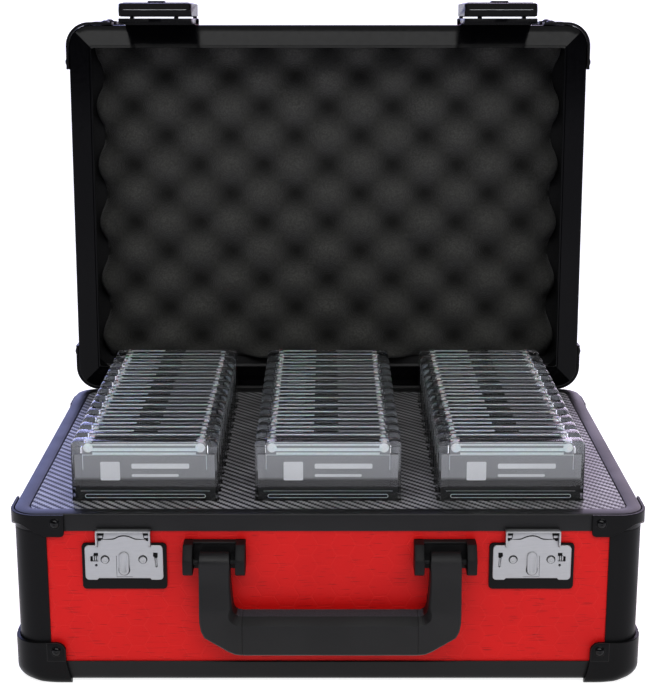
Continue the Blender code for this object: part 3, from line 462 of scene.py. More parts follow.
def floor_paint():
    # Backlit studio sweep: pale opal sheet that glows evenly and still takes a soft shadow
    material, tree, shader, where = start_material(
        "backlit_opal_sweep", "D8D8DA", 0.9, Specular_IOR_Level=0.1,
        Emission_Color=linear("FFFFFF"), Emission_Strength=0.8)
    cloud = grain(tree, where, 400.0 * MM)
    tone = add_node(tree, "Mix", cloud, linear("D4D4D6"), linear("DCDCDE"), data_type="RGBA")
    feed(shader, Base_Color=tone)
    return material


def shared(name, maker, *arguments):
    """A finish that two operators use, made by whichever runs first."""
    return bpy.data.materials.get(name) or maker(*arguments)


def finish_mesh(name, bm, materials, smooth):
    """A mesh from a bmesh, with its materials, smooth up to an angle in degrees."""
    bmesh.ops.recalc_face_normals(bm, faces=bm.faces)
    mesh = bpy.data.meshes.new(name)
    bm.to_mesh(mesh)
    bm.free()
    for material in materials:
        mesh.materials.append(material)
    mesh.shade_smooth()
    mesh.set_sharp_from_angle(angle=math.radians(smooth))
    return mesh


def place(name, mesh, body):
    """An object for a mesh, riding on a body."""
    piece = bpy.data.objects.new(name, mesh)
    bpy.context.scene.collection.objects.link(piece)
    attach(piece, body)
    return piece


def finish_piece(name, bm, materials, body, smooth=30.0):
    """A finished piece from a bmesh in the frame's coordinates, riding on a body."""
    return place(name, finish_mesh(name, bm, materials, smooth), body)


def signs(end):
    """Which way a corner lies in x and in y, from its name."""
    return 1 if "right" in end else -1, 1 if "rear" in end else -1


def opened(bm):
    """Turn a shape drawn on the shut lid to where the lid stands open."""
    turn = (Matrix.Translation(HINGE_POINT) @ Matrix.Rotation(-OPEN_ANGLE, 4, "X")
            @ Matrix.Translation(-HINGE_POINT))
    bmesh.ops.transform(bm, matrix=turn, verts=bm.verts)
    return bm


def arc(centre, radius, start, end, steps):
    """Points on an arc, angles in degrees."""
    points = []
    for k in range(steps + 1):
        angle = math.radians(start + (end - start) * k / steps)
        points.append((centre[0] + radius * math.cos(angle),
                       centre[1] + radius * math.sin(angle)))
    return points


def round_outline(centre, radius, sides):
    """Anticlockwise outline of a round."""
    return arc(centre, radius, 0, 360 - 360 / sides, sides - 1)


def rounded_outline(low, high, radius, steps=5):
    """Anticlockwise outline of a rounded rectangle."""
    left, right = low[0] + radius, high[0] - radius
    bottom, top = low[1] + radius, high[1] - radius
    points = []
    for k, centre in enumerate(((right, top), (left, top), (left, bottom), (right, bottom))):
        points += arc(centre, radius, 90 * k, 90 * k + 90, steps)
    return points


def lift(point, depth, axis):
    """A 2-D outline point placed at a depth along an axis."""
    if axis == "Y":
        return Vector((point[0], depth, point[1]))
    if axis == "X":
        return Vector((depth, point[0], point[1]))
    return Vector((point[0], point[1], depth))


def rows(outline, steps, axis="Y"):
    """The outline at each (inset, depth) pair along an axis."""
    return [[lift(p, depth, axis) for p in inset_outline(outline, inset)]
            for inset, depth in steps]


def bridge(bm, a, b, material=0):
    """Faces between two closed rows of points."""
    for k in range(len(a)):
        m = (k + 1) % len(a)
        bm.faces.new((a[k], a[m], b[m], b[k])).material_index = material


def add_loft(bm, rings, material=0, capped=True):
    """Skin between equal outlines; the first and last are capped."""
    made = [[bm.verts.new(co) for co in ring] for ring in rings]
    for a, b in zip(made, made[1:]):
        bridge(bm, a, b, material)
    if capped:
        for ring in (made[0][::-1], made[-1]):
            bm.faces.new(ring).material_index = material
    return made


def add_plate(bm, outline, low, high, axis, bevel=0.0, material=0):
    """A plate between two depths along an axis, with softened rims."""
    low, high = sorted((low, high))
    profile = [(0.0, low), (0.0, high)]
    if bevel:
        profile = [(bevel, low), (bevel * 0.3, low + bevel * 0.3), (0.0, low + bevel),
                   (0.0, high - bevel), (bevel * 0.3, high - bevel * 0.3), (bevel, high)]
    add_loft(bm, rows(outline, profile, axis), material)


def add_pierced(bm, outline, holes, face, back, bevel):
    """A plate across Y with holes through it; its front rim is softened towards the face."""
    way = 1 if back > face else -1
    steps = ((bevel, face), (0.0, face + way * bevel), (0.0, back))
    sides = [add_loft(bm, rows(outline, steps), 0, False)]
    sides += [add_loft(bm, rows(hole, ((0.0, face), (0.0, back))), 0, False) for hole in holes]
    for end in (0, -1):
        edges = []
        for side in sides:
            loop = side[end]
            edges += [bm.edges.get(pair) for pair in zip(loop, loop[1:] + loop[:1])]
        bmesh.ops.triangle_fill(bm, use_beauty=True, use_dissolve=False, edges=edges)


def add_turned(bm, centre, profile, facing, sides=24, material=0):
    """A turned piece from (radius, height) pairs, its axis along facing."""
    turn = Vector((0, 0, 1)).rotation_difference(Vector(facing).normalized()).to_matrix()
    rings = []
    for radius, height in profile:
        angles = (2 * math.pi * k / sides for k in range(sides))
        rings.append([Vector(centre) + turn @ Vector((radius * math.cos(a),
                                                      radius * math.sin(a), height))
                      for a in angles])
    add_loft(bm, rings, material)


def rivet_profile(radius, height):
    """A domed head with a dimple where the setting tool pressed it."""
    profile = [(radius, 0.0)]
    for k in range(1, 6):
        angle = math.radians(90 * k / 6)
        profile.append((radius * math.cos(angle), height * math.sin(angle)))
    profile += [(radius * 0.2, height * 0.8), (radius * 0.02, height * 0.72)]
    return profile


def case_outline(inset):
    """Outline of the case at an inset from its outer faces."""
    half = (CASE_HALF.x - inset, CASE_HALF.y - inset)
    bend = max(CORNER_RADIUS - inset, 2.0 * MM)
    return rounded_outline((-half[0], -half[1]), half, bend, 10)


def add_ring(bm, rings, material=0):
    """A frame from closed outlines, the last joined back to the first."""
    made = add_loft(bm, rings, material, False)
    bridge(bm, made[-1], made[0], material)


def inset_outline(outline, distance):
    """An anticlockwise outline moved inwards along the mean of its neighbours' normals."""
    if not distance:
        return outline
    count = len(outline)
    moved = []
    for k in range(count):
        before = Vector(outline[k]) - Vector(outline[k - 1])
        after = Vector(outline[(k + 1) % count]) - Vector(outline[k])
        n1 = Vector((-before.y, before.x)).normalized()
        n2 = Vector((-after.y, after.x)).normalized()
        middle = (n1 + n2).normalized()
        reach = distance / max(0.35, middle.dot(n1))
        moved.append((outline[k][0] + middle.x * reach, outline[k][1] + middle.y * reach))
    return moved


def add_box(bm, low, high, bevel=0.0, material=0):
    """A box between two corners, with softened edges."""
    low, high = zip(*(sorted(ends) for ends in zip(low, high)))
    outline = rounded_outline((low[0], low[1]), (high[0], high[1]), max(bevel, 1e-5), 2)
    add_plate(bm, outline, low[2], high[2], "Z", bevel, material)


def round_edges(bm, width, least):
    """Round the edges that turn by more than the least angle in degrees."""
    crisp = [edge for edge in bm.edges
             if len(edge.link_faces) == 2 and edge.calc_face_angle(0.0) > math.radians(least)]
    bmesh.ops.bevel(bm, geom=crisp, offset=width, segments=2, profile=0.6, affect="EDGES",
                    clamp_overlap=True)


def softened(node, width, material):
    """A copy of a CAD node with its crisp edges rounded; it stands for the node."""
    bm = bmesh.new()
    bm.from_mesh(frame["nodes"][node].data)
    bmesh.ops.remove_doubles(bm, verts=bm.verts, dist=1e-6)
    bmesh.ops.dissolve_limit(bm, angle_limit=math.radians(1.0), verts=bm.verts, edges=bm.edges)
    round_edges(bm, width, 28.0)
    piece = finish_piece(node + "_finished", bm, [material], frame["nodes"][node]["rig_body"],
                         32.0)
    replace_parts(piece, node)


def coat(nodes, material):
    """Give carried-over CAD nodes a finish."""
    for name in nodes:
        mesh = frame["nodes"][name].data
        mesh.materials.clear()
        mesh.materials.append(material)


class CASE_OT_stage(bpy.types.Operator):
    """Set up the floor, the soft boxes and the camera"""
    bl_idname = "case.stage"
    bl_label = "Studio Stage"

    def execute(self, context):
        scene = context.scene
        scene.view_settings.view_transform = "Standard"
        scene.view_settings.look = "None"
        bm = bmesh.new()
        reach, level, sides = 25.0, FOOT_LEVEL - 0.01 * MM, 64
        ring = [(reach * math.cos(a), reach * math.sin(a), level)
                for a in (2 * math.pi * k / sides for k in range(sides))]
        bm.faces.new([bm.verts.new(co) for co in ring])
        mesh = bpy.data.meshes.new("studio_floor")
        bm.to_mesh(mesh)
        bm.free()
        mesh.materials.append(floor_paint())
        floor = bpy.data.objects.new("studio_floor", mesh)
        scene.collection.objects.link(floor)

        world = bpy.data.worlds.new("studio_surroundings")
        world.use_nodes = True
        tree = world.node_tree
        back = tree.nodes["Background"]
        # bright and cool behind the case, dim in front of it, and paler overhead
        ways = add_node(tree, "SeparateXYZ", add_node(tree, "TexCoord")).node.outputs
        side, behind, height = (
            add_node(tree, "MapRange", way, low, high, interpolation_type="SMOOTHSTEP")
            for way, low, high in zip(ways, (-0.3, 0.25, 0.55), (0.3, 0.8, 0.85)))
        cool = add_node(tree, "Mix", side, linear("AEB6F8"), linear("E6D6F2"),
                        data_type="RGBA")
        tone = add_node(tree, "Mix", height, linear("A0A1A6"), linear("E8E9EC"),
                        data_type="RGBA")
        tone = add_node(tree, "Mix", behind, tone, cool, data_type="RGBA")
        feed(back, Color=tone, Strength=add_node(tree, "MapRange", behind, 0.0, 1.0, 0.26, 3.4))
        scene.world = world

        for name, spot, size, power, code in (
                ("key_soft_box", (-0.2, -1.6, 1.38), (1.8, 0.45), 17.0, "FFFFFF"),
                ("front_soft_box", (0.75, -1.75, 1.05), (1.2, 0.7), 9.0, "FFFFFF"),
                ("top_soft_box", (0.0, -0.85, 1.85), (1.6, 1.6), 12.0, "FFFFFF")):
            data = bpy.data.lights.new(name, "AREA")
            data.shape = "RECTANGLE"
            data.size, data.size_y = size
            data.energy = power
            data.color = linear(code)[:3]
            light = bpy.data.objects.new(name, data)
            light.location = spot
            aim = Vector((0.0, 0.05, 0.2)) - light.location
            light.rotation_euler = aim.to_track_quat("-Z", "Y").to_euler()
            scene.collection.objects.link(light)

        data = bpy.data.cameras.new("studio_camera")
        data.sensor_width = 36.0
        data.lens = 82.05
        data.shift_x = 0.0051
        data.clip_start, data.clip_end = 0.05, 60.0
        camera = bpy.data.objects.new("studio_camera", data)
        camera.location = (0.0, -0.9371, 0.4028)
        camera.rotation_euler = (math.radians(90 - 14.418), 0.0, 0.0)
        scene.collection.objects.link(camera)
        scene.camera = camera
        return {"FINISHED"}


class CASE_OT_boards(bpy.types.Operator):
    """Give the side boards, the top and the bottom their laminate"""
    bl_idname = "case.boards"
    bl_label = "Laminate Boards"

    def execute(self, context):
        coat([f"base_{side}_panel" for side in ("front", "back", "left", "right")],
             laminate("red_embossed_laminate", False))
        coat([f"lid_{side}_panel" for side in ("front", "back", "left", "right")],
             laminate("red_embossed_laminate_lid", True))
        coat(["lid_top_panel"], laminate("red_embossed_laminate_top", True, True))
        coat(["base_bottom_panel"], anodised_aluminium("black_fibreboard_base", False))
        return {"FINISHED"}


class CASE_OT_frames(bpy.types.Operator):
    """Build the rims and the foot frame, and finish the posts and the hinge"""
    bl_idname = "case.frames"
    bl_label = "Edge Frames"

    def execute(self, context):
        base = anodised_aluminium("black_anodised_aluminium", False)
        lid = anodised_aluminium("black_anodised_aluminium_lid", True)
        coat(["hinge_base_leaf", "hinge_pin"], base)
        coat(["hinge_lid_leaf"], lid)
        self.base_rim(base)
        self.edge_frame("foot_frame_extrusion", "base_bottom_frame", 1, base)
        self.edge_frame("lid_edge_extrusion", "lid_edge_frame", -1, lid)
        dull = anodised_aluminium("black_anodised_posts", False, 0.06)
        dull_lid = anodised_aluminium("black_anodised_posts_lid", True, 0.06)
        for end in ENDS:
            self.post("base", end, dull)
            self.post("lid", end, dull_lid)
        self.lid_rim()
        self.lining()
        return {"FINISHED"}

    def post(self, part, end, metal):
        # a round corner extrusion: two legs over the boards' ends and a web between them
        side_x, side_y = signs(end)
        leg, wall, web = 19.3 * MM, 1.0 * MM, 4.3 * MM
        plan = [(leg, 0.25 * MM), (leg - 0.25 * MM, 0.0)]
        plan += arc((CORNER_RADIUS, CORNER_RADIUS), CORNER_RADIUS, 270, 180, 18)
        plan += [(0.0, leg - 0.25 * MM), (0.25 * MM, leg), (wall, leg), (wall, CORNER_RADIUS),
                 (web, CORNER_RADIUS), (CORNER_RADIUS, web), (CORNER_RADIUS, wall), (leg, wall)]
        outline = [(side_x * (CASE_HALF.x - u), side_y * (CASE_HALF.y - v)) for u, v in plan]
        if side_x * side_y > 0:
            outline = outline[::-1]
        low, high = LID_PLANE + 10.3 * MM, LID_PLANE + 49.3 * MM
        if part == "base":
            low, high = (corner.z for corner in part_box(f"base_post_{end}"))
        bm = bmesh.new()
        add_plate(bm, outline, low, high, "Z")
        if part == "lid":
            opened(bm)
        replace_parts(finish_piece(f"{part}_post_extrusion_{end}", bm, [metal], part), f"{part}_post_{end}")

    def knuckle(self, angle, plane, side):
        # a point on the bore round the hinge pin: its inset, and its height over a plane
        angle = math.radians(angle)
        return (HINGE_BORE * math.sin(angle) - (HINGE_POINT.y - CASE_HALF.y),
                HINGE_POINT.z - plane + side * HINGE_BORE * math.cos(angle))

    def rim_points(self, inset, height, near):
        # the case's outline, where the back edge is drawn in to a point near the knuckles
        plain = (inset * MM, height * MM)
        points = [(x, y, height * MM) for x, y in case_outline(inset * MM)]
        stations = ((HINGE_SPAN + 0.1 * MM, plain), (HINGE_SPAN, near or plain),
                    (-HINGE_SPAN, near or plain), (-HINGE_SPAN - 0.1 * MM, plain))
        points[11:11] = [(x, CASE_HALF.y - at[0], at[1]) for x, at in stations]
        return points

    def base_rim(self, metal):
        rolled = [(0.0, -10.0), (0.0, -1.1), (0.12, -0.62), (0.45, -0.2), (1.1, 0.0)]
        level = [(7.8, 0.0), (8.3, -0.12), (8.5, -0.5), (8.5, -1.2), (1.0, -1.2), (1.0, -10.0)]
        hollow = [(0.0, -10.0 * MM)]
        hollow += [self.knuckle(13 + 24 * k, RIM_TOP, -1) for k in range(4)]
        hollow += [None] * 4 + [(2.6 * MM, -2.6 * MM), None]
        rings = [[Vector((x, y, RIM_TOP + z)) for x, y, z in self.rim_points(*step, near)]
                 for step, near in zip(rolled + level, hollow)]
        bm = bmesh.new()
        add_ring(bm, rings)
        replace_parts(finish_piece("base_rim_extrusion", bm, [metal], "base"),
                    "base_rim")

    def edge_frame(self, name, node, rise, metal):
        # a rolled edge that runs round the bottom, or with rise -1 round the lid's top
        if rise > 0:
            foot, band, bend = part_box(node)[0].z - 1.1 * MM, 11.5 * MM, 3.6 * MM
        else:
            foot, band, bend = LID_PLANE + LID_DEPTH, 10.4 * MM, 5.2 * MM
        profile = [(0.0, band - 0.3 * MM)]
        for k in range(9):
            angle = math.radians(11.25 * k)
            profile.append((bend * (1 - math.cos(angle)), bend * (1 - math.sin(angle))))
        profile += [(9.0 * MM, 0.0), (9.0 * MM, 1.0 * MM), (bend, 1.1 * MM),
                    (1.9 * MM, 2.4 * MM), (1.0 * MM, bend), (1.0 * MM, band), (0.3 * MM, band)]
        bm = bmesh.new()
        add_ring(bm, [[Vector((x, y, foot + rise * height)) for x, y in case_outline(inset)]
                      for inset, height in profile])
        if rise < 0:
            opened(bm)
        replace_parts(finish_piece(name, bm, [metal], frame["nodes"][node]["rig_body"]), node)

    def lid_rim(self):
        # the face falls outwards from its inner lip, in four planes that meet on the mitres
        wide, fall = 15.0 * MM, 1.1 * MM
        edge = [(0.0, 10.0), (0.0, 1.0), (0.08, 0.6), (0.28, 0.25), (0.6, 0.06), (1.0, 0.0)]
        face = [(5.0, 0.0), (9.0, 0.0), (13.5, 0.0), (13.62, 0.6), (13.95, 0.6), (14.05, -0.05),
                (14.8, -0.05), (15.0, 0.15), (15.0, 1.3)]
        under = [(4.6, 1.4), (1.0, 1.4), (1.0, 10.0)]
        hollow = [None] + [self.knuckle(13 + 18 * k, LID_PLANE, 1) for k in range(5)]
        hollow += [None] * (len(face) + 1) + [(2.6 * MM, 2.6 * MM), None]
        rings = []
        for k, (step, near) in enumerate(zip(edge + face + under, hollow)):
            ring = []
            for m, (x, y, level) in enumerate(self.rim_points(*step, near)):
                drawn_in = near and m in (12, 13)
                if 0 < k < len(edge + face) and not drawn_in:
                    reach = min(CASE_HALF.x - abs(x), CASE_HALF.y - abs(y))
                    level += fall * (1 - min(reach, wide) / wide)
                ring.append(Vector((x, y, LID_PLANE + level)))
            rings.append(ring)
        bm = bmesh.new()
        add_ring(bm, rings)
        rim = finish_piece("lid_mitred_rim", opened(bm), [polished_frame()], "lid",
                           11.0)
        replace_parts(rim, "lid_rim")

    def lining(self):
        # a tray: its walls cover the boards and its edge runs in behind the foam
        low, high = LID_PLANE + 1.5 * MM, LID_PLANE + 55.65 * MM
        rings = []
        for inset, z in ((4.35, low), (4.35, high), (27.0, high), (27.0, high - 0.18 * MM),
                         (4.7, high - 0.18 * MM), (4.7, low)):
            half = (CASE_HALF.x - inset * MM, CASE_HALF.y - inset * MM)
            outline = rounded_outline((-half[0], -half[1]), half, 9.6 * MM, 6)
            rings.append([Vector((x, y, z)) for x, y in outline])
        bm = bmesh.new()
        add_ring(bm, rings)
        finish_piece("lid_felt_lining", opened(bm), [felt_lining()], "lid")


def limited(share):
    """A share kept between 0 and 1."""
    return min(1.0, max(0.0, share))


def rounding(radius, over):
    """How far a rounded corner has dropped, over metres into its radius."""
    return radius - math.sqrt(max(0.0, radius ** 2 - over ** 2)) if over > 0 else 0.0


class CASE_OT_corner_steel(bpy.types.Operator):
    """Press the ball corner caps and the rim guards, with their rivets"""
    bl_idname = "case.corner_steel"
    bl_label = "Corner Caps And Guards"

    def execute(self, context):
        rivet = lacquered_rivet()
        for part, on_lid in (("base", False), ("lid", True)):
            steel = coated_steel(f"black_powder_coated_steel_{part}", on_lid)
            for end in ENDS:
                self.cap(part, end, signs(end), [steel, rivet])
                self.guard(part, end, signs(end), [steel, rivet])
        return {"FINISHED"}

    def plan(self, proud, stops):
        # points round a corner as (inset in x, inset in y, distance from the bend, outwards)
        centre = CORNER_RADIUS
        straight = [(u * MM, -proud, u * MM - centre, Vector((0.0, -1.0))) for u in stops]
        bend = []
        for k in range(17):
            angle = math.radians(270 - 90 * k / 16)
            way = Vector((math.cos(angle), math.sin(angle)))
            spot = Vector((centre, centre)) + way * (centre + proud)
            off = math.pi / 4 - abs(math.radians(225) - angle)
            bend.append((spot.x, spot.y, -(centre + proud) * off, way))
        return straight + bend + [(v, u, d, Vector((w.y, w.x)))
                                  for u, v, d, w in reversed(straight)]

    def seen(self, hand, spot, level):
        # a point of the plan, from its insets, on the corner that hand names
        return Vector((hand[0] * (CASE_HALF.x - spot.x), hand[1] * (CASE_HALF.y - spot.y), level))

    def skin(self, bm, outer, inner):
        grids = [[[bm.verts.new(p) for p in row] for row in grid] for grid in (outer, inner)]
        height, columns = len(outer), len(outer[0])
        for grid in grids:
            for r in range(height - 1):
                for c in range(columns - 1):
                    bm.faces.new((grid[r][c], grid[r][c + 1], grid[r + 1][c + 1], grid[r + 1][c]))
        a, b = grids
        for r in range(height - 1):
            for c in (0, columns - 1):
                bm.faces.new((a[r][c], a[r + 1][c], b[r + 1][c], b[r][c]))
        for c in range(columns - 1):
            for r in (0, height - 1):
                bm.faces.new((a[r][c], a[r][c + 1], b[r][c + 1], b[r][c]))

    def rivets(self, bm, hand, inset, level, proud):
        for spot, way in ((Vector((inset, -proud)), (0, hand[1], 0)),
                          (Vector((-proud, inset)), (hand[0], 0, 0))):
            spot = self.seen(hand, spot, level)
            add_turned(bm, spot, [(3.1 * MM, -0.3 * MM), (3.1 * MM, 0.1 * MM),
                                  (2.9 * MM, 0.2 * MM), (2.7 * MM, 0.02 * MM)], way, 24, 1)
            add_turned(bm, spot, rivet_profile(2.6 * MM, 1.3 * MM), way, 24, 1)

    def cap(self, part, end, hand, finishes):
        rise = 1 if part == "base" else -1
        foot = FOOT_LEVEL if rise > 0 else LID_PLANE + LID_DEPTH + 3.2 * MM
        tall, leg, proud, bend, flare_from = (k * MM for k in (25.8, 27.7, 2.3, 5.0, 13.6))
        stops = (27.7, 27.55, 27.1, 26.2, 24.8, 22.9, 20.0, 17.0, 14.01)
        grids = []
        for out, wall in ((proud, 0.0), (0.5 * MM, 1.8 * MM)):
            columns = []
            for u, v, reach, way in self.plan(out, stops):
                share = limited((8.0 * MM - reach) / (19.0 * MM))
                share = share * share * (3 - 2 * share)
                fillet = bend + 4.5 * MM * share - wall
                spot = Vector((u, v))
                along = Vector((1.0, 0.0)) if u > v else Vector((0.0, 1.0))
                top = tall - rounding(bend, reach + CORNER_RADIUS - (leg - bend))
                steps = [(0.0 if wall else 0.25 * MM, top), (0.0, top - 0.25 * MM)]
                steps += [(0.0, top + (fillet + wall - top) * k / 5) for k in range(1, 6)]
                steps += [(fillet * (1 - math.cos(a)), wall + fillet * (1 - math.sin(a)))
                          for a in (math.radians(10 * k) for k in range(1, 10))]
                column = []
                for inward, level in steps:
                    flare = 2.5 * MM * limited((flare_from - level) / (11.0 * MM))
                    flare *= limited(reach / (13.7 * MM))
                    column.append((spot + along * flare - way * inward, level))
                last = column[-1][0]
                column.append((last + (Vector((leg, leg)) * 0.92 - last) * 0.5, wall))
                columns.append([self.seen(hand, q, foot + rise * level) for q, level in column])
            grids.append([list(row) for row in zip(*columns)])
        bm = bmesh.new()
        self.skin(bm, *grids)
        # the pressed pad that the rivet sits on
        pad = [(17.4, 15.0), (27.0, 15.0)] + arc((22.5, 20.9), 4.5, 0, 90, 6) + [(17.4, 25.4)]
        for axis, half, side, seat, way in (("Y", CASE_HALF.x, hand[0], CASE_HALF.y, hand[1]),
                                            ("X", CASE_HALF.y, hand[1], CASE_HALF.x, hand[0])):
            outline = [(side * (half - u * MM), foot + rise * z * MM) for u, z in pad]
            if side * rise > 0:
                outline = outline[::-1]
            seat += proud
            sunk = way * (seat - 0.4 * MM)
            add_plate(bm, outline, sunk, way * (seat + 0.45 * MM), axis, 0.3 * MM)
            # a black ring round the pad, just proud of the cap: painted shade in the crease at the pad's edge
            seam = inset_outline(outline, -0.45 * MM)
            add_plate(bm, seam, sunk, way * (seat + 0.08 * MM), axis, 0.0, 1)
        self.rivets(bm, hand, 22.5 * MM, foot + rise * 20.9 * MM, proud + 0.45 * MM)
        self.finish(bm, part, f"{part}_ball_corner_{end}", f"{part}_cap_{end}", finishes)

    def guard(self, part, end, hand, finishes):
        rise = -1 if part == "base" else 1
        plane = RIM_TOP if part == "base" else LID_PLANE
        edge = plane + rise * (2.2 if hand[1] > 0 else 0.3) * MM
        stops = (29.4, 29.2, 28.7, 27.4, 24.0, 21.0, 19.2, 17.5, 15.5, 14.01)
        grids = []
        for out, soft in ((2.0 * MM, 0.3 * MM), (0.4 * MM, 0.0)):
            columns = []
            for u, v, reach, way in self.plan(out, stops):
                along = reach + CORNER_RADIUS
                low = 12.7 * MM - rounding(2.0 * MM, along - 27.4 * MM)
                low -= 6.4 * MM * limited((19.2 * MM - along) / (13.7 * MM))
                steps = ((0.0, soft), (0.3 * MM, 0.0), (low / 2, 0.0), (low - 0.35 * MM, 0.0),
                         (low, soft))
                columns.append([self.seen(hand, Vector((u, v)) - way * drop, edge + rise * level)
                                for level, drop in steps])
            grids.append([list(row) for row in zip(*columns)])
        bm = bmesh.new()
        self.skin(bm, *grids)
        self.rivets(bm, hand, 24.6 * MM, edge + rise * 4.9 * MM, 2.0 * MM)
        self.finish(bm, part, f"{part}_rim_protector_{end}", f"{part}_rim_guard_{end}", finishes)

    def finish(self, bm, part, name, node, finishes):
        if part == "lid":
            opened(bm)
        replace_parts(finish_piece(name, bm, finishes, part, 38.0), node)


class CASE_OT_insert(bpy.types.Operator):
    """Finish the slotted foam block and the twill sheet on it"""
    bl_idname = "case.insert"
    bl_label = "Foam Insert"

    def execute(self, context):
        coat(["foam_insert"], open_cell_foam("charcoal_polyurethane_foam", False))
        coat(["insert_top_sheet"], twill_sheet())
        return {"FINISHED"}


class CASE_OT_lid_foam(bpy.types.Operator):
    """Grow the egg-crate foam pad in the lid"""
    bl_idname = "case.lid_foam"
    bl_label = "Lid Foam"

    def execute(self, context):
        sizes = context.scene.case_sizes
        low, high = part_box("lid_foam")
        half_x = (high.x - low.x) / 2
        half_y = 113.7 * MM
        face = LID_PLANE + 38.0 * MM + sizes.foam_relief / 2 + 0.3 * MM
        back = LID_PLANE + 55.4 * MM
        count_x, count_y = 150, 104
        round_reach = 9.0 * MM
        bm = bmesh.new()
        grid = []
        for j in range(count_y + 1):
            row = []
            for i in range(count_x + 1):
                x = -half_x + 2 * half_x * i / count_x
                y = -half_y + 2 * half_y * j / count_y
                wave = (math.cos(2 * math.pi * x / sizes.foam_pitch_x)
                        * math.cos(2 * math.pi * (y + 6.3 * MM) / sizes.foam_pitch_y))
                wave = math.copysign(abs(wave) ** 0.9, wave)
                z = face - sizes.foam_relief / 2 * wave
                rim = min(half_x - abs(x), half_y - abs(y))
                if rim < round_reach:
                    share = 1 - rim / round_reach
                    z += 5.0 * MM * (1 - math.sqrt(max(0.0, 1 - share * share)))
                # the cut edge draws in beside each hollow
                near = max(0.0, 1 - (half_x - abs(x)) / (22.0 * MM)) ** 2
                x -= math.copysign(4.5 * MM * near * (1 - wave) / 2, x)
                row.append(bm.verts.new((x, y, min(z, back - 1.0 * MM))))
            grid.append(row)
        for j in range(count_y):
            for i in range(count_x):
                bm.faces.new((grid[j][i], grid[j][i + 1], grid[j + 1][i + 1], grid[j + 1][i]))
        edge_loop = ([grid[0][i] for i in range(count_x)]
                     + [grid[j][count_x] for j in range(count_y)]
                     + [grid[count_y][i] for i in range(count_x, 0, -1)]
                     + [grid[j][0] for j in range(count_y, 0, -1)])
        under = [bm.verts.new((v.co.x, v.co.y, back)) for v in edge_loop]
        bridge(bm, edge_loop, under)
        bm.faces.new(under)
        foam = open_cell_foam("charcoal_polyurethane_foam_lid", True)
        pad = finish_piece("egg_crate_foam_pad", opened(bm), [foam], "lid", 60.0)
        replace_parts(pad, "lid_foam")
        return {"FINISHED"}


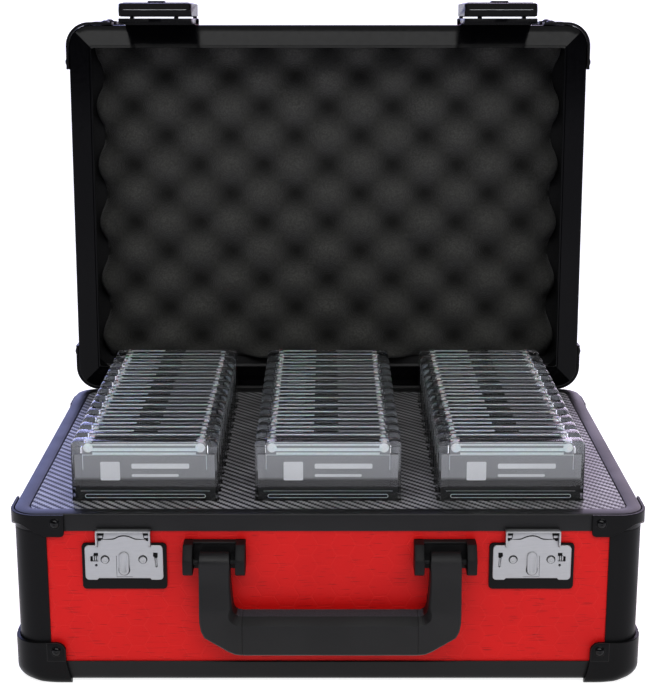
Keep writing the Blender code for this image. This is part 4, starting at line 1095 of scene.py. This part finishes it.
class CASE_OT_slabs(bpy.types.Operator):
    """Stand the clear card holders in their slots"""
    bl_idname = "case.slabs"
    bl_label = "Card Slabs"

    def execute(self, context):
        sizes = context.scene.case_sizes
        finishes = [clear_acrylic(), frosted_acrylic(), label_paper(), card_stock(), label_ink()]
        for row in ROWS:
            low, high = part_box(f"slab_row_{row}")
            # only the front slab shows its face, and those behind it show what is near the top
            meshes = [self.slab_mesh(row, low, high, finishes, sizes, foremost)
                      for foremost in (True, False)]
            for k in range(sizes.slab_count):
                slab = place(f"card_slab_{row}_{k + 1:02d}", meshes[min(k, 1)],
                             f"slab_row_{row}")
                slab.location.y = k * sizes.slab_pitch
                if k == 0:
                    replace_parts(slab, f"slab_row_{row}")
        return {"FINISHED"}

    def slab_mesh(self, row, low, high, finishes, sizes, foremost):
        frost, label, card, ink = range(1, 5)
        front, back = low.y, low.y + sizes.slab_thickness
        middle = (low.x + high.x) / 2
        half = (high.x - low.x) / 2
        bm = bmesh.new()
        outline = rounded_outline((low.x, low.z), (high.x, high.z), sizes.slab_corner, 5)
        seam = (front + back) / 2
        border = 5.6 * MM
        panel_step = 0.45 * MM
        rings = [(0.5 * MM, front), (0.12 * MM, front + 0.12 * MM), (0.0, front + 0.5 * MM),
                 (0.0, seam - 0.18 * MM), (0.16 * MM, seam), (0.0, seam + 0.18 * MM),
                 (0.0, back - 0.5 * MM), (0.12 * MM, back - 0.12 * MM), (0.5 * MM, back)]
        made = add_loft(bm, rows(outline, rings), 0, False)
        inner = rounded_outline((low.x + border, low.z + border),
                                (high.x - border, high.z - 2.6 * MM), 2.0 * MM, 5)
        for ring, face, into in ((made[0], front, 1), (made[-1], back, -1)):
            steps = ((0.0, face), (0.3 * MM, face + into * panel_step))
            lip, sunk = add_loft(bm, rows(inner, steps), 0, False)
            bridge(bm, ring, lip)
            bm.faces.new(sunk)
        label_top = high.z - 8.4 * MM
        label_low = label_top - 20.9 * MM
        # the dark inner tray, the label on its face and the card's raised edge below
        add_box(bm, (low.x + 1.7 * MM, seam - 1.0 * MM, low.z + 2.0 * MM),
                (high.x - 1.7 * MM, seam + 1.0 * MM, label_top), 0.0, card)
        add_box(bm, (low.x + 1.7 * MM, seam - 1.2 * MM, label_low),
                (high.x - 1.7 * MM, seam - 1.02 * MM, label_top - 0.1 * MM), 0.0, label)
        # milky weld lines round the label, and the card: a span across from the middle, a span
        # in depth in metres, a span up from the top, and the finish
        line = (seam - 1.5 * MM, seam - 1.3 * MM)
        weld = (front + 0.75 * MM, front + 0.95 * MM)
        layers = [((-34.9, 34.9), line, (-8.95, -8.6), frost),
                  ((-36.4, 36.4), line, (-30.14, -30.0), frost),
                  ((-34.9, -34.6), line, (-17.4, -8.4), frost),
                  ((34.6, 34.9), line, (-17.4, -8.4), frost),
                  ((-32.0, 32.0), (seam - 1.4 * MM, seam - 1.0 * MM), (-118.9, -30.9), card)]
        if foremost:
            layers += [((-34.6, 34.6), (front + 1.3 * MM, front + 1.5 * MM), (-8.3, -1.4), label),
                       ((-30.6, 30.6), weld, (-2.9, -2.1), frost),
                       ((-30.6, 30.6), weld, (-6.2, -4.4), frost),
                       ((-29.0, 29.0), weld, (-8.2, -7.0), frost)]
            foot = rounded_outline((middle - 34.0 * MM, RIM_TOP + 0.9 * MM),
                                   (middle + 34.0 * MM, RIM_TOP + 3.2 * MM), 1.1 * MM, 4)
            add_ring(bm, rows(foot, ((0.0, weld[0]), (0.0, weld[1]), (0.3 * MM, weld[1]),
                                     (0.3 * MM, weld[0]))), frost)
        else:
            # a milky weld line under the front edge, and milky bands under the top face
            layers += [((-30.6, 30.6), weld, (-1.7, -1.3), frost),
                       ((-30.6, -8.0), (front + 3.5 * MM, back - 0.8 * MM), (-0.9, -0.7), frost),
                       ((6.0, 30.6), (front + 2.7 * MM, back - 0.8 * MM), (-0.9, -0.7), label)]
        for (x0, x1), (y0, y1), (z0, z1), finish in layers:
            add_box(bm, (middle + x0 * MM, y0, high.z + z0 * MM),
                    (middle + x1 * MM, y1, high.z + z1 * MM), 0.0, finish)
        for side in (-1, 1):
            x = middle + side * (half - 9.6 * MM)
            post = round_outline((x, high.z - 4.3 * MM), (2.7 if foremost else 1.7) * MM, 20)
            add_plate(bm, post, front + 0.6 * MM, back - 0.7 * MM, "Y", 0.3 * MM, frost)
        mark = label_low + 11.0 * MM
        ink_y = seam - 1.2 * MM
        for x0, x1, z0, z1 in ((-25.0, -14.0, -5.5, 5.5), (-7.5, 25.0, 1.4, 4.4),
                               (-7.5, 19.0, -3.4, -1.8)):
            bar = rounded_outline((middle + x0 * MM, mark + z0 * MM),
                                  (middle + x1 * MM, mark + z1 * MM), 0.7 * MM, 3)
            add_plate(bm, bar, ink_y - 0.06 * MM, ink_y - 0.01 * MM, "Y", 0.0, ink)
        return finish_mesh(f"card_slab_{row}", bm, finishes, 35.0)


class CASE_OT_handle(bpy.types.Operator):
    """Mould the carrying handle and its brackets"""
    bl_idname = "case.handle"
    bl_label = "Handle"

    def execute(self, context):
        # the second finish, pale bluish and matt, is a painted highlight on the top of the grip
        self.grip([moulded_plastic("moulded_polypropylene", 0.19),
                   moulded_plastic("polypropylene_painted_highlight", 0.015, "4A4C52")])
        dull = moulded_plastic("moulded_polypropylene_brackets", 0.1)
        for hand in HANDS:
            self.bracket(hand, dull)
        return {"FINISHED"}

    def section(self, outer, inner, front, back, bevels):
        # eight-sided section between an outer and an inner point of the bar's side view; the
        # bevel that faces the front of the grip is deeper than it is wide
        lean = 1.3
        front_outer, front_inner, back_inner, back_outer = (b * MM for b in bevels)
        way = (Vector(inner) - Vector(outer)).normalized()
        wide = (Vector(inner) - Vector(outer)).length

        def at(share, y):
            q = Vector(outer) + way * share
            return Vector((q.x, y, q.y))

        return [at(back_outer, back), at(0.0, back - back_outer), at(0.0, front + front_outer),
                at(front_outer, front), at(wide - front_inner, front),
                at(wide, front + front_inner * lean), at(wide, back - back_inner),
                at(wide - back_inner, back)]

    def grip(self, finishes):
        (axis_y, axis_z), eye, back = HANDLE_AXIS, 5.9 * MM, -127.1 * MM
        arm_out, arm_in = -72.0, -54.9
        rings = []
        for angle in (86, 72, 56, 38, 20, 0):
            a = math.radians(angle)
            z = axis_z + eye * math.sin(a)
            y = max(eye * math.cos(a), 0.4 * MM)
            tuck = 0.8 * MM * (angle / 86) ** 2
            rings.append(self.section((arm_out * MM + tuck, z), (arm_in * MM - tuck, z),
                                      axis_y - y, axis_y + y, (0.35, 0.35, 0.35, 0.35)))
        for z, front, soft in ((66.0, -138.9, 0.8), (60.0, -139.8, 1.0), (53.0, -141.2, 1.2),
                               (48.0, -142.1, 1.4)):
            widen = max(0.0, (62.0 - z) / 14.0) * 1.2
            rings.append(self.section((arm_out * MM, z * MM), ((arm_in + widen) * MM, z * MM),
                                      front * MM, back, (0.7, soft, 0.9, 0.9)))
        turn = (((-72.0, 44.0), (-53.6, 47.0), 2.0), ((-71.9, 39.5), (-53.2, 45.2), 2.8),
                ((-71.1, 34.8), (-52.5, 43.9), 3.4), ((-69.2, 31.0), (-51.5, 43.1), 3.7),
                ((-62.7, 26.9), (-50.6, 42.55), 3.8), ((-56.3, 22.9), (-49.8, 42.35), 3.8),
                ((-52.6, 21.2), (-49.2, 42.3), 3.8), ((-48.55, 20.7), (-48.55, 42.3), 3.8))
        front = -142.5 * MM
        for outer, inner, soft in turn:
            rings.append(self.section([q * MM for q in outer], [q * MM for q in inner], front,
                                      back, (0.9, soft, 1.0, 1.6)))
        # a hairline groove where the grip's sleeve starts
        for x, sink in ((-48.5, 0.25), (-48.3, 0.25), (-48.25, 0.0), (-30.0, 0.0)):
            rings.append(self.section((x * MM, (20.7 + sink) * MM), (x * MM, (42.3 - sink) * MM),
                                      front + sink * MM, back - sink * MM, (0.9, 3.8, 1.0, 1.6)))
        mirrored = [[Vector((-q.x, q.y, q.z)) for q in ring] for ring in reversed(rings)]
        bm = bmesh.new()
        add_loft(bm, rings + mirrored)
        bmesh.ops.translate(bm, vec=(1.2 * MM, 0.0, 0.0), verts=bm.verts)
        round_edges(bm, 0.25 * MM, 30.0)
        # the flat faces along the top of the grip take the painted highlight finish
        for face in bm.faces:
            where = face.calc_center_median()
            face.normal_update()
            if abs(face.normal.z) > 0.8 and 39.0 * MM < where.z < 46.0 * MM:
                face.material_index = 1
        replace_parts(finish_piece("moulded_grip", bm, finishes, "handle", 24.0),
                    "handle")

    def bracket(self, hand, plastic):
        low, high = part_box(f"handle_bracket_{hand}")
        seat, nose, top = high.y, low.y, high.z
        foot = top - 16.8 * MM
        centre = (low.x + high.x) / 2 + 1.0 * MM
        half = (high.x - low.x) / 2 - 0.4 * MM
        bm = bmesh.new()
        plate = rounded_outline((centre - half, foot), (centre + half, top), 1.0 * MM, 3)
        add_plate(bm, plate, seat - 1.6 * MM, seat, "Y", 0.3 * MM)
        ear = [(seat, foot), (nose + 3.0 * MM, foot), (nose + 0.6 * MM, foot + 1.3 * MM),
               (nose, foot + 2.6 * MM), (nose, foot + 8.9 * MM), (nose + 0.4 * MM, foot + 9.9 * MM),
               (nose + 5.0 * MM, top - 0.8 * MM), (nose + 6.0 * MM, top), (seat, top)]
        pin = round_outline(HANDLE_AXIS, 1.7 * MM, 24)
        for way in (-1, 1):
            add_plate(bm, ear[::-1], centre + way * half, centre + way * (half - 5.4 * MM), "X",
                      0.5 * MM)
            add_plate(bm, pin, centre + way * (half - 5.6 * MM), centre + way * 8.85 * MM, "X")
        # the roof between the ears, over the handle's eye
        roof = [(seat - 0.2 * MM, top - 0.2 * MM), (seat - 3.4 * MM, top - 0.35 * MM),
                (seat - 4.0 * MM, top - 1.0 * MM), (seat - 1.2 * MM, top - 2.4 * MM),
                (seat - 0.2 * MM, top - 2.4 * MM)]
        add_plate(bm, roof, centre - half + 5.2 * MM, centre + half - 5.2 * MM, "X", 0.2 * MM)
        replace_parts(finish_piece(f"handle_saddle_{hand}", bm, [plastic], "base",
                                 30.0), f"handle_bracket_{hand}")


class CASE_OT_latches(bpy.types.Operator):
    """Build the pierced latch plates, their hoods, rivets and thumb slides"""
    bl_idname = "case.latches"
    bl_label = "Latches"

    def execute(self, context):
        steel = shared("black_powder_coated_steel_base", coated_steel,
                       "black_powder_coated_steel_base", False)
        nickel = nickel_plate()
        for hand in HANDS:
            softened(f"latch_backing_{hand}", 0.4 * MM, steel)
            self.catch(hand, [nickel, steel])
            self.slide(hand, nickel)
        return {"FINISHED"}

    def catch(self, hand, finishes):
        low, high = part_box(f"latch_catch_{hand}")
        centre = (low.x + high.x) / 2
        way = 1 if hand == "left" else -1
        foot, crown = low.z + 1.15 * MM, high.z + 1.1 * MM
        top = foot + 20.4 * MM
        face, back = high.y - 1.0 * MM, high.y
        nose = low.y

        def placed(points):
            spots = [(centre + way * x * MM, top + z * MM) for x, z in points]
            return spots if way > 0 else spots[::-1]

        def sheet(points, low, high, bevel, material=0):
            # a plate between two depths that are counted from the back, in millimetres
            add_plate(bm, placed(points), back + low * MM, back + high * MM, "Y", bevel * MM,
                      material)

        half, bend, drop = 21.65, 2.2, -20.4
        outline = arc((half - bend, -bend), bend, 0, 90, 6)
        outline += [(15.0, 0.0), (14.3, 0.4), (14.1, 2.7), (12.5, 2.9), (12.2, 3.5), (7.0, 3.5),
                    (6.1, 3.7), (5.2, 4.15), (3.4, 4.9), (1.8, 5.35), (0.2, 5.5), (-1.4, 5.35),
                    (-3.0, 4.85), (-4.6, 4.0), (-5.6, 3.6), (-6.4, 3.5), (-12.2, 3.5),
                    (-12.5, 2.9), (-14.1, 2.7), (-14.3, 0.4), (-15.0, 0.0)]
        outline += arc((-half + bend, -bend), bend, 90, 180, 6)
        outline += arc((-half + bend, drop + bend), bend, 180, 270, 6)
        outline += [(-15.3, drop), (-14.8, drop + 0.25), (-14.2, drop + 1.0),
                    (14.2, drop + 1.0), (14.8, drop + 0.25), (15.3, drop)]
        outline += arc((half - bend, drop + bend), bend, 270, 360, 6)
        window = [(-14.2, -4.3), (-16.6, -4.3), (-16.9, -6.1), (-18.6, -6.4), (-18.6, -9.4),
                  (-14.2, -9.4)]
        peg_hole = arc((-15.4, -11.6), 0.75, 360, 30, 11)
        slot = [(18.7, -4.2), (16.2, -4.2), (16.1, -6.3), (16.9, -7.2), (17.3, -12.6),
                (18.1, -13.0), (18.5, -12.4), (18.3, -7.6), (18.7, -6.6)]
        seam = [(-4.05, -6.0), (-4.3, -6.0), (-4.3, -18.1), (-4.05, -18.1)]
        tongue = [(4.8, -18.35), (-4.3, -18.35), (-4.3, -18.6), (4.8, -18.6)]
        tab_low, tab_half = -16.5, 2.8
        stem = arc((0.0, tab_low + tab_half - 0.75), tab_half + 0.45, 10, -190, 16)
        stem_slot = [(1.6, -4.6)] + stem + [(-1.6, -4.6)]
        rings_round = [arc((x, -8.2), 2.5, 360, 15, 23) for x in (-10.45, 10.45)]
        holes = (window, peg_hole, slot, seam, tongue, stem_slot, *rings_round)
        bm = bmesh.new()
        add_pierced(bm, placed(outline), [placed(hole) for hole in holes], face, back, 0.22 * MM)
        # the spring's striped tail behind the window, and the leaf behind the slanted slot
        for x in (-15.0, -16.15, -17.3):
            sheet([(x, -9.3), (x + 0.7, -9.3), (x + 0.7, -6.4), (x, -6.4)], -0.45, 0.0, 0.1)
        sheet([(17.4, -12.6), (18.0, -12.6), (18.0, -7.6), (17.3, -7.6)], -0.5, 0.0, 0.08)
        # the black lining of the box, its pale back plate, and a black strip that paints the shadow along the top
        # edge
        crown_z = (crown - top) / MM
        box_top = crown_z - 1.0
        sheet([(14.6, -1.0), (14.6, box_top), (-14.6, box_top), (-14.6, -1.0)], -0.25, 0.1, 0.0, 1)
        box_top = crown_z - 2.3
        sheet([(12.0, 0.6), (10.6, box_top), (-10.6, box_top), (-12.0, 0.6)], -0.75, -0.3, 0.1)
        # painted shadow: a black strip 0.45 mm over the crest of the plate
        sheet([(13.6, 2.4), (13.6, 3.3), (7.0, 3.95), (6.1, 4.15), (5.2, 4.6), (3.4, 5.35),
               (1.8, 5.8), (0.2, 5.95), (-1.4, 5.8), (-3.0, 5.3), (-4.6, 4.45), (-5.6, 4.05),
               (-6.4, 3.95), (-13.6, 3.3), (-13.6, 2.4)], -0.9, -0.77, 0.0, 1)
        for side in (-1, 1):
            for z0, z1 in ((4.4, 5.8), (7.3, crown_z - 1.3)):
                reach = 12.3 - (z0 - 0.6) * 0.21
                x0, x1 = sorted((side * reach, side * 14.3))
                sheet([(x1, z0), (x1, z1), (x0, z1), (x0, z0)], -1.0, -0.3, 0.18)
            cheek = [(back - 0.5 * MM, top - 1.0 * MM), (face - 0.2 * MM, top - 1.0 * MM),
                     (nose + 0.9 * MM, top + 0.1 * MM), (nose + 0.1 * MM, top + 1.6 * MM),
                     (nose, crown - 1.2 * MM), (nose + 0.35 * MM, crown - 0.35 * MM),
                     (nose + 1.2 * MM, crown), (back - 0.5 * MM, crown)]
            add_plate(bm, cheek[::-1], centre + side * 15.1 * MM, centre + side * 14.15 * MM,
                      "X", 0.16 * MM)
        lip = [(back - 0.4 * MM, crown - 0.9 * MM), (nose + 1.3 * MM, crown - 0.95 * MM),
               (nose + 0.9 * MM, crown - 1.0 * MM), (nose + 0.3 * MM, crown - 1.15 * MM),
               (nose, crown - 0.9 * MM), (nose, crown - 0.6 * MM),
               (nose + 0.3 * MM, crown - 0.3 * MM), (nose + 0.9 * MM, crown),
               (back - 0.4 * MM, crown)]
        add_plate(bm, lip, centre - 14.8 * MM, centre + 14.8 * MM, "X", 0.05 * MM)
        head = [(2.05, -0.9), (2.05, 0.2), (1.9, 0.48), (1.6, 0.6), (1.25, 0.6), (1.0, 0.42),
                (0.05, 0.42)]
        for side in (-1, 1):
            add_turned(bm, (centre + side * 10.45 * MM, face, top - 8.42 * MM),
                       [(r * MM, h * MM) for r, h in head], (0, -1, 0))
        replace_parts(finish_piece(f"latch_plate_{hand}", bm, finishes, "base", 40.0),
                    f"latch_catch_{hand}")

    def slide(self, hand, nickel):
        low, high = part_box(f"latch_slide_{hand}")
        centre = (low.x + high.x) / 2
        near = low.y + 1.3 * MM
        half = (high.x - low.x) / 2
        low.z += 0.6 * MM
        high.z += 0.6 * MM
        outline = arc((centre, high.z - half), half, 0, 180, 10)
        outline += arc((centre, low.z + half), half, 180, 360, 10)
        tall = high.z - low.z

        def depth(z, share):
            rise = (high.z - z) / tall
            return near - share * (0.3 + 1.0 * min(1.0, rise * 1.15)) * MM

        bm = bmesh.new()
        steps = ((0.0, 0.0), (0.0, 0.6), (0.2, 0.88), (0.55, 1.0), (1.3, 0.97), (1.6, 0.8))
        add_loft(bm, [[(x, depth(z, share), z) for x, z in inset_outline(outline, inset * MM)]
                      for inset, share in steps])
        middle = (low.z + high.z) / 2 - 0.6 * MM
        add_box(bm, (centre - 1.3 * MM, near - 0.2 * MM, middle - 2.0 * MM),
                (centre + 1.3 * MM, high.y, middle + 2.0 * MM), 0.2 * MM)
        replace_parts(finish_piece(f"thumb_slide_{hand}", bm, [nickel], f"latch_slide_{hand}",
                                 35.0), f"latch_slide_{hand}")


class CASE_OT_levers(bpy.types.Operator):
    """Build the latch levers on the lid and finish their mounts"""
    bl_idname = "case.levers"
    bl_label = "Latch Levers"

    def execute(self, context):
        steel = coated_steel("gloss_coated_steel_levers", True, 0.045, 0.2)
        for hand, side in zip(HANDS, (-1, 1)):
            self.mount(hand, side * LEVER_PLACE, steel)
            self.lever(hand, side * LEVER_PLACE, steel)
        return {"FINISHED"}

    def mount(self, hand, centre, steel):
        # the riveted plate, its lip over the rim, two lugs and the pins through the lever, and
        # a frame that runs out under the lever and goes round the catch when the lid is shut
        half, face = LEVER_HALF, -129.4 * MM
        bm = bmesh.new()
        for foot, back in ((90.0 * MM, -125.3 * MM), (98.6 * MM, -124.99 * MM)):
            outline = rounded_outline((centre - half, foot), (centre + half, 127.2 * MM),
                                      0.8 * MM, 4)
            add_plate(bm, outline, face, back, "Y", 0.3 * MM)
        for way in (-1, 1):
            for x0, x1, z0, z1, back in ((22.1, 23.8, 65.3, 90.2, -125.9),
                                         (3.9, 23.7, 65.0, 67.4, -127.0)):
                add_box(bm, (centre + way * x0 * MM, face, z0 * MM),
                        (centre + way * x1 * MM, back * MM, z1 * MM), 0.3 * MM)
        add_box(bm, (centre - 4.1 * MM, face, 65.0 * MM),
                (centre + 4.1 * MM, -128.75 * MM, 67.4 * MM), 0.2 * MM)
        for x in (-21.6, 21.6):
            lug = [(face + 0.4 * MM, LEVER_AXIS[1] + 3.4 * MM)]
            lug += arc(LEVER_AXIS, 3.4 * MM, 90, 270, 12)
            lug += [(face + 0.4 * MM, LEVER_AXIS[1] - 3.4 * MM)]
            add_plate(bm, lug, centre + (x - 1.2) * MM, centre + (x + 1.2) * MM, "X", 0.15 * MM)
        pin = round_outline(LEVER_AXIS, 1.4 * MM, 24)
        for x in (-23.4, 18.6):
            add_plate(bm, pin, centre + x * MM, centre + (x + 4.8) * MM, "X")
        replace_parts(finish_piece(f"lever_mount_plate_{hand}", opened(bm), [steel], "lid"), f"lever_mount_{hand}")

    def lever(self, hand, centre, steel):
        half, foot, hinge_z = LEVER_HALF, 64.9 * MM, LEVER_AXIS[1]
        back, face = -130.5 * MM, -139.3 * MM
        axis_y = (back + face) / 2
        root = hinge_z - 3.8 * MM
        bm = bmesh.new()
        # the free end has a ridge between two slanting facets
        rings = []
        ends = [(-half, 1.4), (-half + 0.4 * MM, 0.5), (-half + 1.6 * MM, 0.0),
                (half - 1.6 * MM, 0.0), (half - 0.4 * MM, 0.5), (half, 1.4)]
        for x, tuck in ends:
            t = tuck * MM
            g = min(t, 0.45 * MM)
            rings.append([Vector((centre + x, y, z)) for y, z in (
                (back - g, root), (back - g, foot + 2.1 * MM + t),
                (back - 0.5 * MM - g, foot + 1.3 * MM + t),
                (axis_y + 0.25 * MM, foot + 0.05 * MM + t),
                (axis_y - 0.25 * MM, foot + 0.05 * MM + t),
                (face + 1.0 * MM + g, foot + 1.5 * MM + t),
                (face + 0.3 * MM + g, foot + 2.1 * MM + t),
                (face + g, foot + 3.4 * MM + t), (face + g, root))])
        add_loft(bm, rings)
        crown = arc((axis_y, hinge_z), 4.0 * MM, 180, 0, 12)
        end = [(face, root - 0.5 * MM)] + crown + [(back, root - 0.5 * MM)]
        add_plate(bm, end[::-1], centre - 19.9 * MM, centre + 19.9 * MM, "X", 0.3 * MM)
        # a raised border round the outer face and the release button
        step = 0.35 * MM
        border = rounded_outline((centre - half + 2.2 * MM, foot + 5.5 * MM),
                                 (centre + half - 2.2 * MM, root - 2.0 * MM), 2.0 * MM, 5)
        inner = inset_outline(border, 2.0 * MM)
        slope = ((0.0, face + 0.05 * MM), (step, face - step))
        fall = ((-step, face - step), (0.0, face + 0.05 * MM))
        add_ring(bm, rows(border, slope) + rows(inner, fall))
        button_z = foot + 14.0 * MM
        button = rounded_outline((centre - 5.7 * MM, button_z - 4.5 * MM),
                                 (centre + 5.7 * MM, button_z + 4.5 * MM), 1.6 * MM, 5)
        add_plate(bm, button, face - 1.4 * MM, face + 0.5 * MM, "Y", 0.35 * MM)
        # a fine bright bead along the ridge of the free end, turned down at its tips
        path = [(-22.4, 1.5), (-21.2, 0.55), (-19.0, 0.12), (0.0, 0.0), (19.0, 0.12), (21.2, 0.55),
                (22.4, 1.5)]
        rings = []
        for x, drop in path:
            spot = (axis_y - drop * 0.3 * MM, foot + drop * 0.45 * MM)
            rings.append([lift(p, centre + x * MM, "X") for p in round_outline(spot, 0.16 * MM, 8)])
        add_loft(bm, rings, 1)
        # the claw that reaches for the catch's hood, on the side of the handle
        x = 10.8 if hand == "left" else -13.6
        claw = [(back + y * MM, z * MM) for y, z in (
            (0.6, 85.3), (2.2, 84.9), (2.2, 83.5), (1.4, 82.9), (-0.5, 82.9), (-0.5, 86.4))]
        add_plate(bm, claw, centre + x * MM, centre + (x + 2.8) * MM, "X", 0.2 * MM)
        bright = shared("satin_nickel_plated_steel", nickel_plate)
        lever = finish_piece(f"latch_lever_cover_{hand}", opened(bm), [steel, bright],
                             f"latch_lever_{hand}", 24.0)
        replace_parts(lever, f"latch_lever_{hand}")


class CASE_PT_pieces(bpy.types.Panel):
    """Lists the operators that dress the case"""
    bl_idname = "CASE_PT_pieces"
    bl_label = "Card Case"
    bl_space_type = "VIEW_3D"
    bl_region_type = "UI"
    bl_category = "Card Case"

    def draw(self, context):
        layout = self.layout
        for group in (context.scene.case_sizes, context.scene.case_colours):
            box = layout.box()
            for key in group.bl_rna.properties.keys():
                if key not in ("rna_type", "name"):
                    box.prop(group, key)
        for step in STEPS:
            layout.operator(step.bl_idname)


STEPS = (CASE_OT_stage, CASE_OT_boards, CASE_OT_frames, CASE_OT_corner_steel, CASE_OT_insert,
         CASE_OT_lid_foam, CASE_OT_slabs, CASE_OT_handle, CASE_OT_latches, CASE_OT_levers)
CLASSES = (CaseSizes, CaseColours, *STEPS, CASE_PT_pieces)


def register():
    for cls in CLASSES:
        bpy.utils.register_class(cls)
    bpy.types.Scene.case_sizes = bpy.props.PointerProperty(type=CaseSizes)
    bpy.types.Scene.case_colours = bpy.props.PointerProperty(type=CaseColours)


def unregister():
    del bpy.types.Scene.case_colours
    del bpy.types.Scene.case_sizes
    for cls in reversed(CLASSES):
        bpy.utils.unregister_class(cls)


def main():
    register()
    for step in STEPS:
        group, call = step.bl_idname.split(".")
        getattr(getattr(bpy.ops, group), call)()


if __name__ == "__main__":
    main()
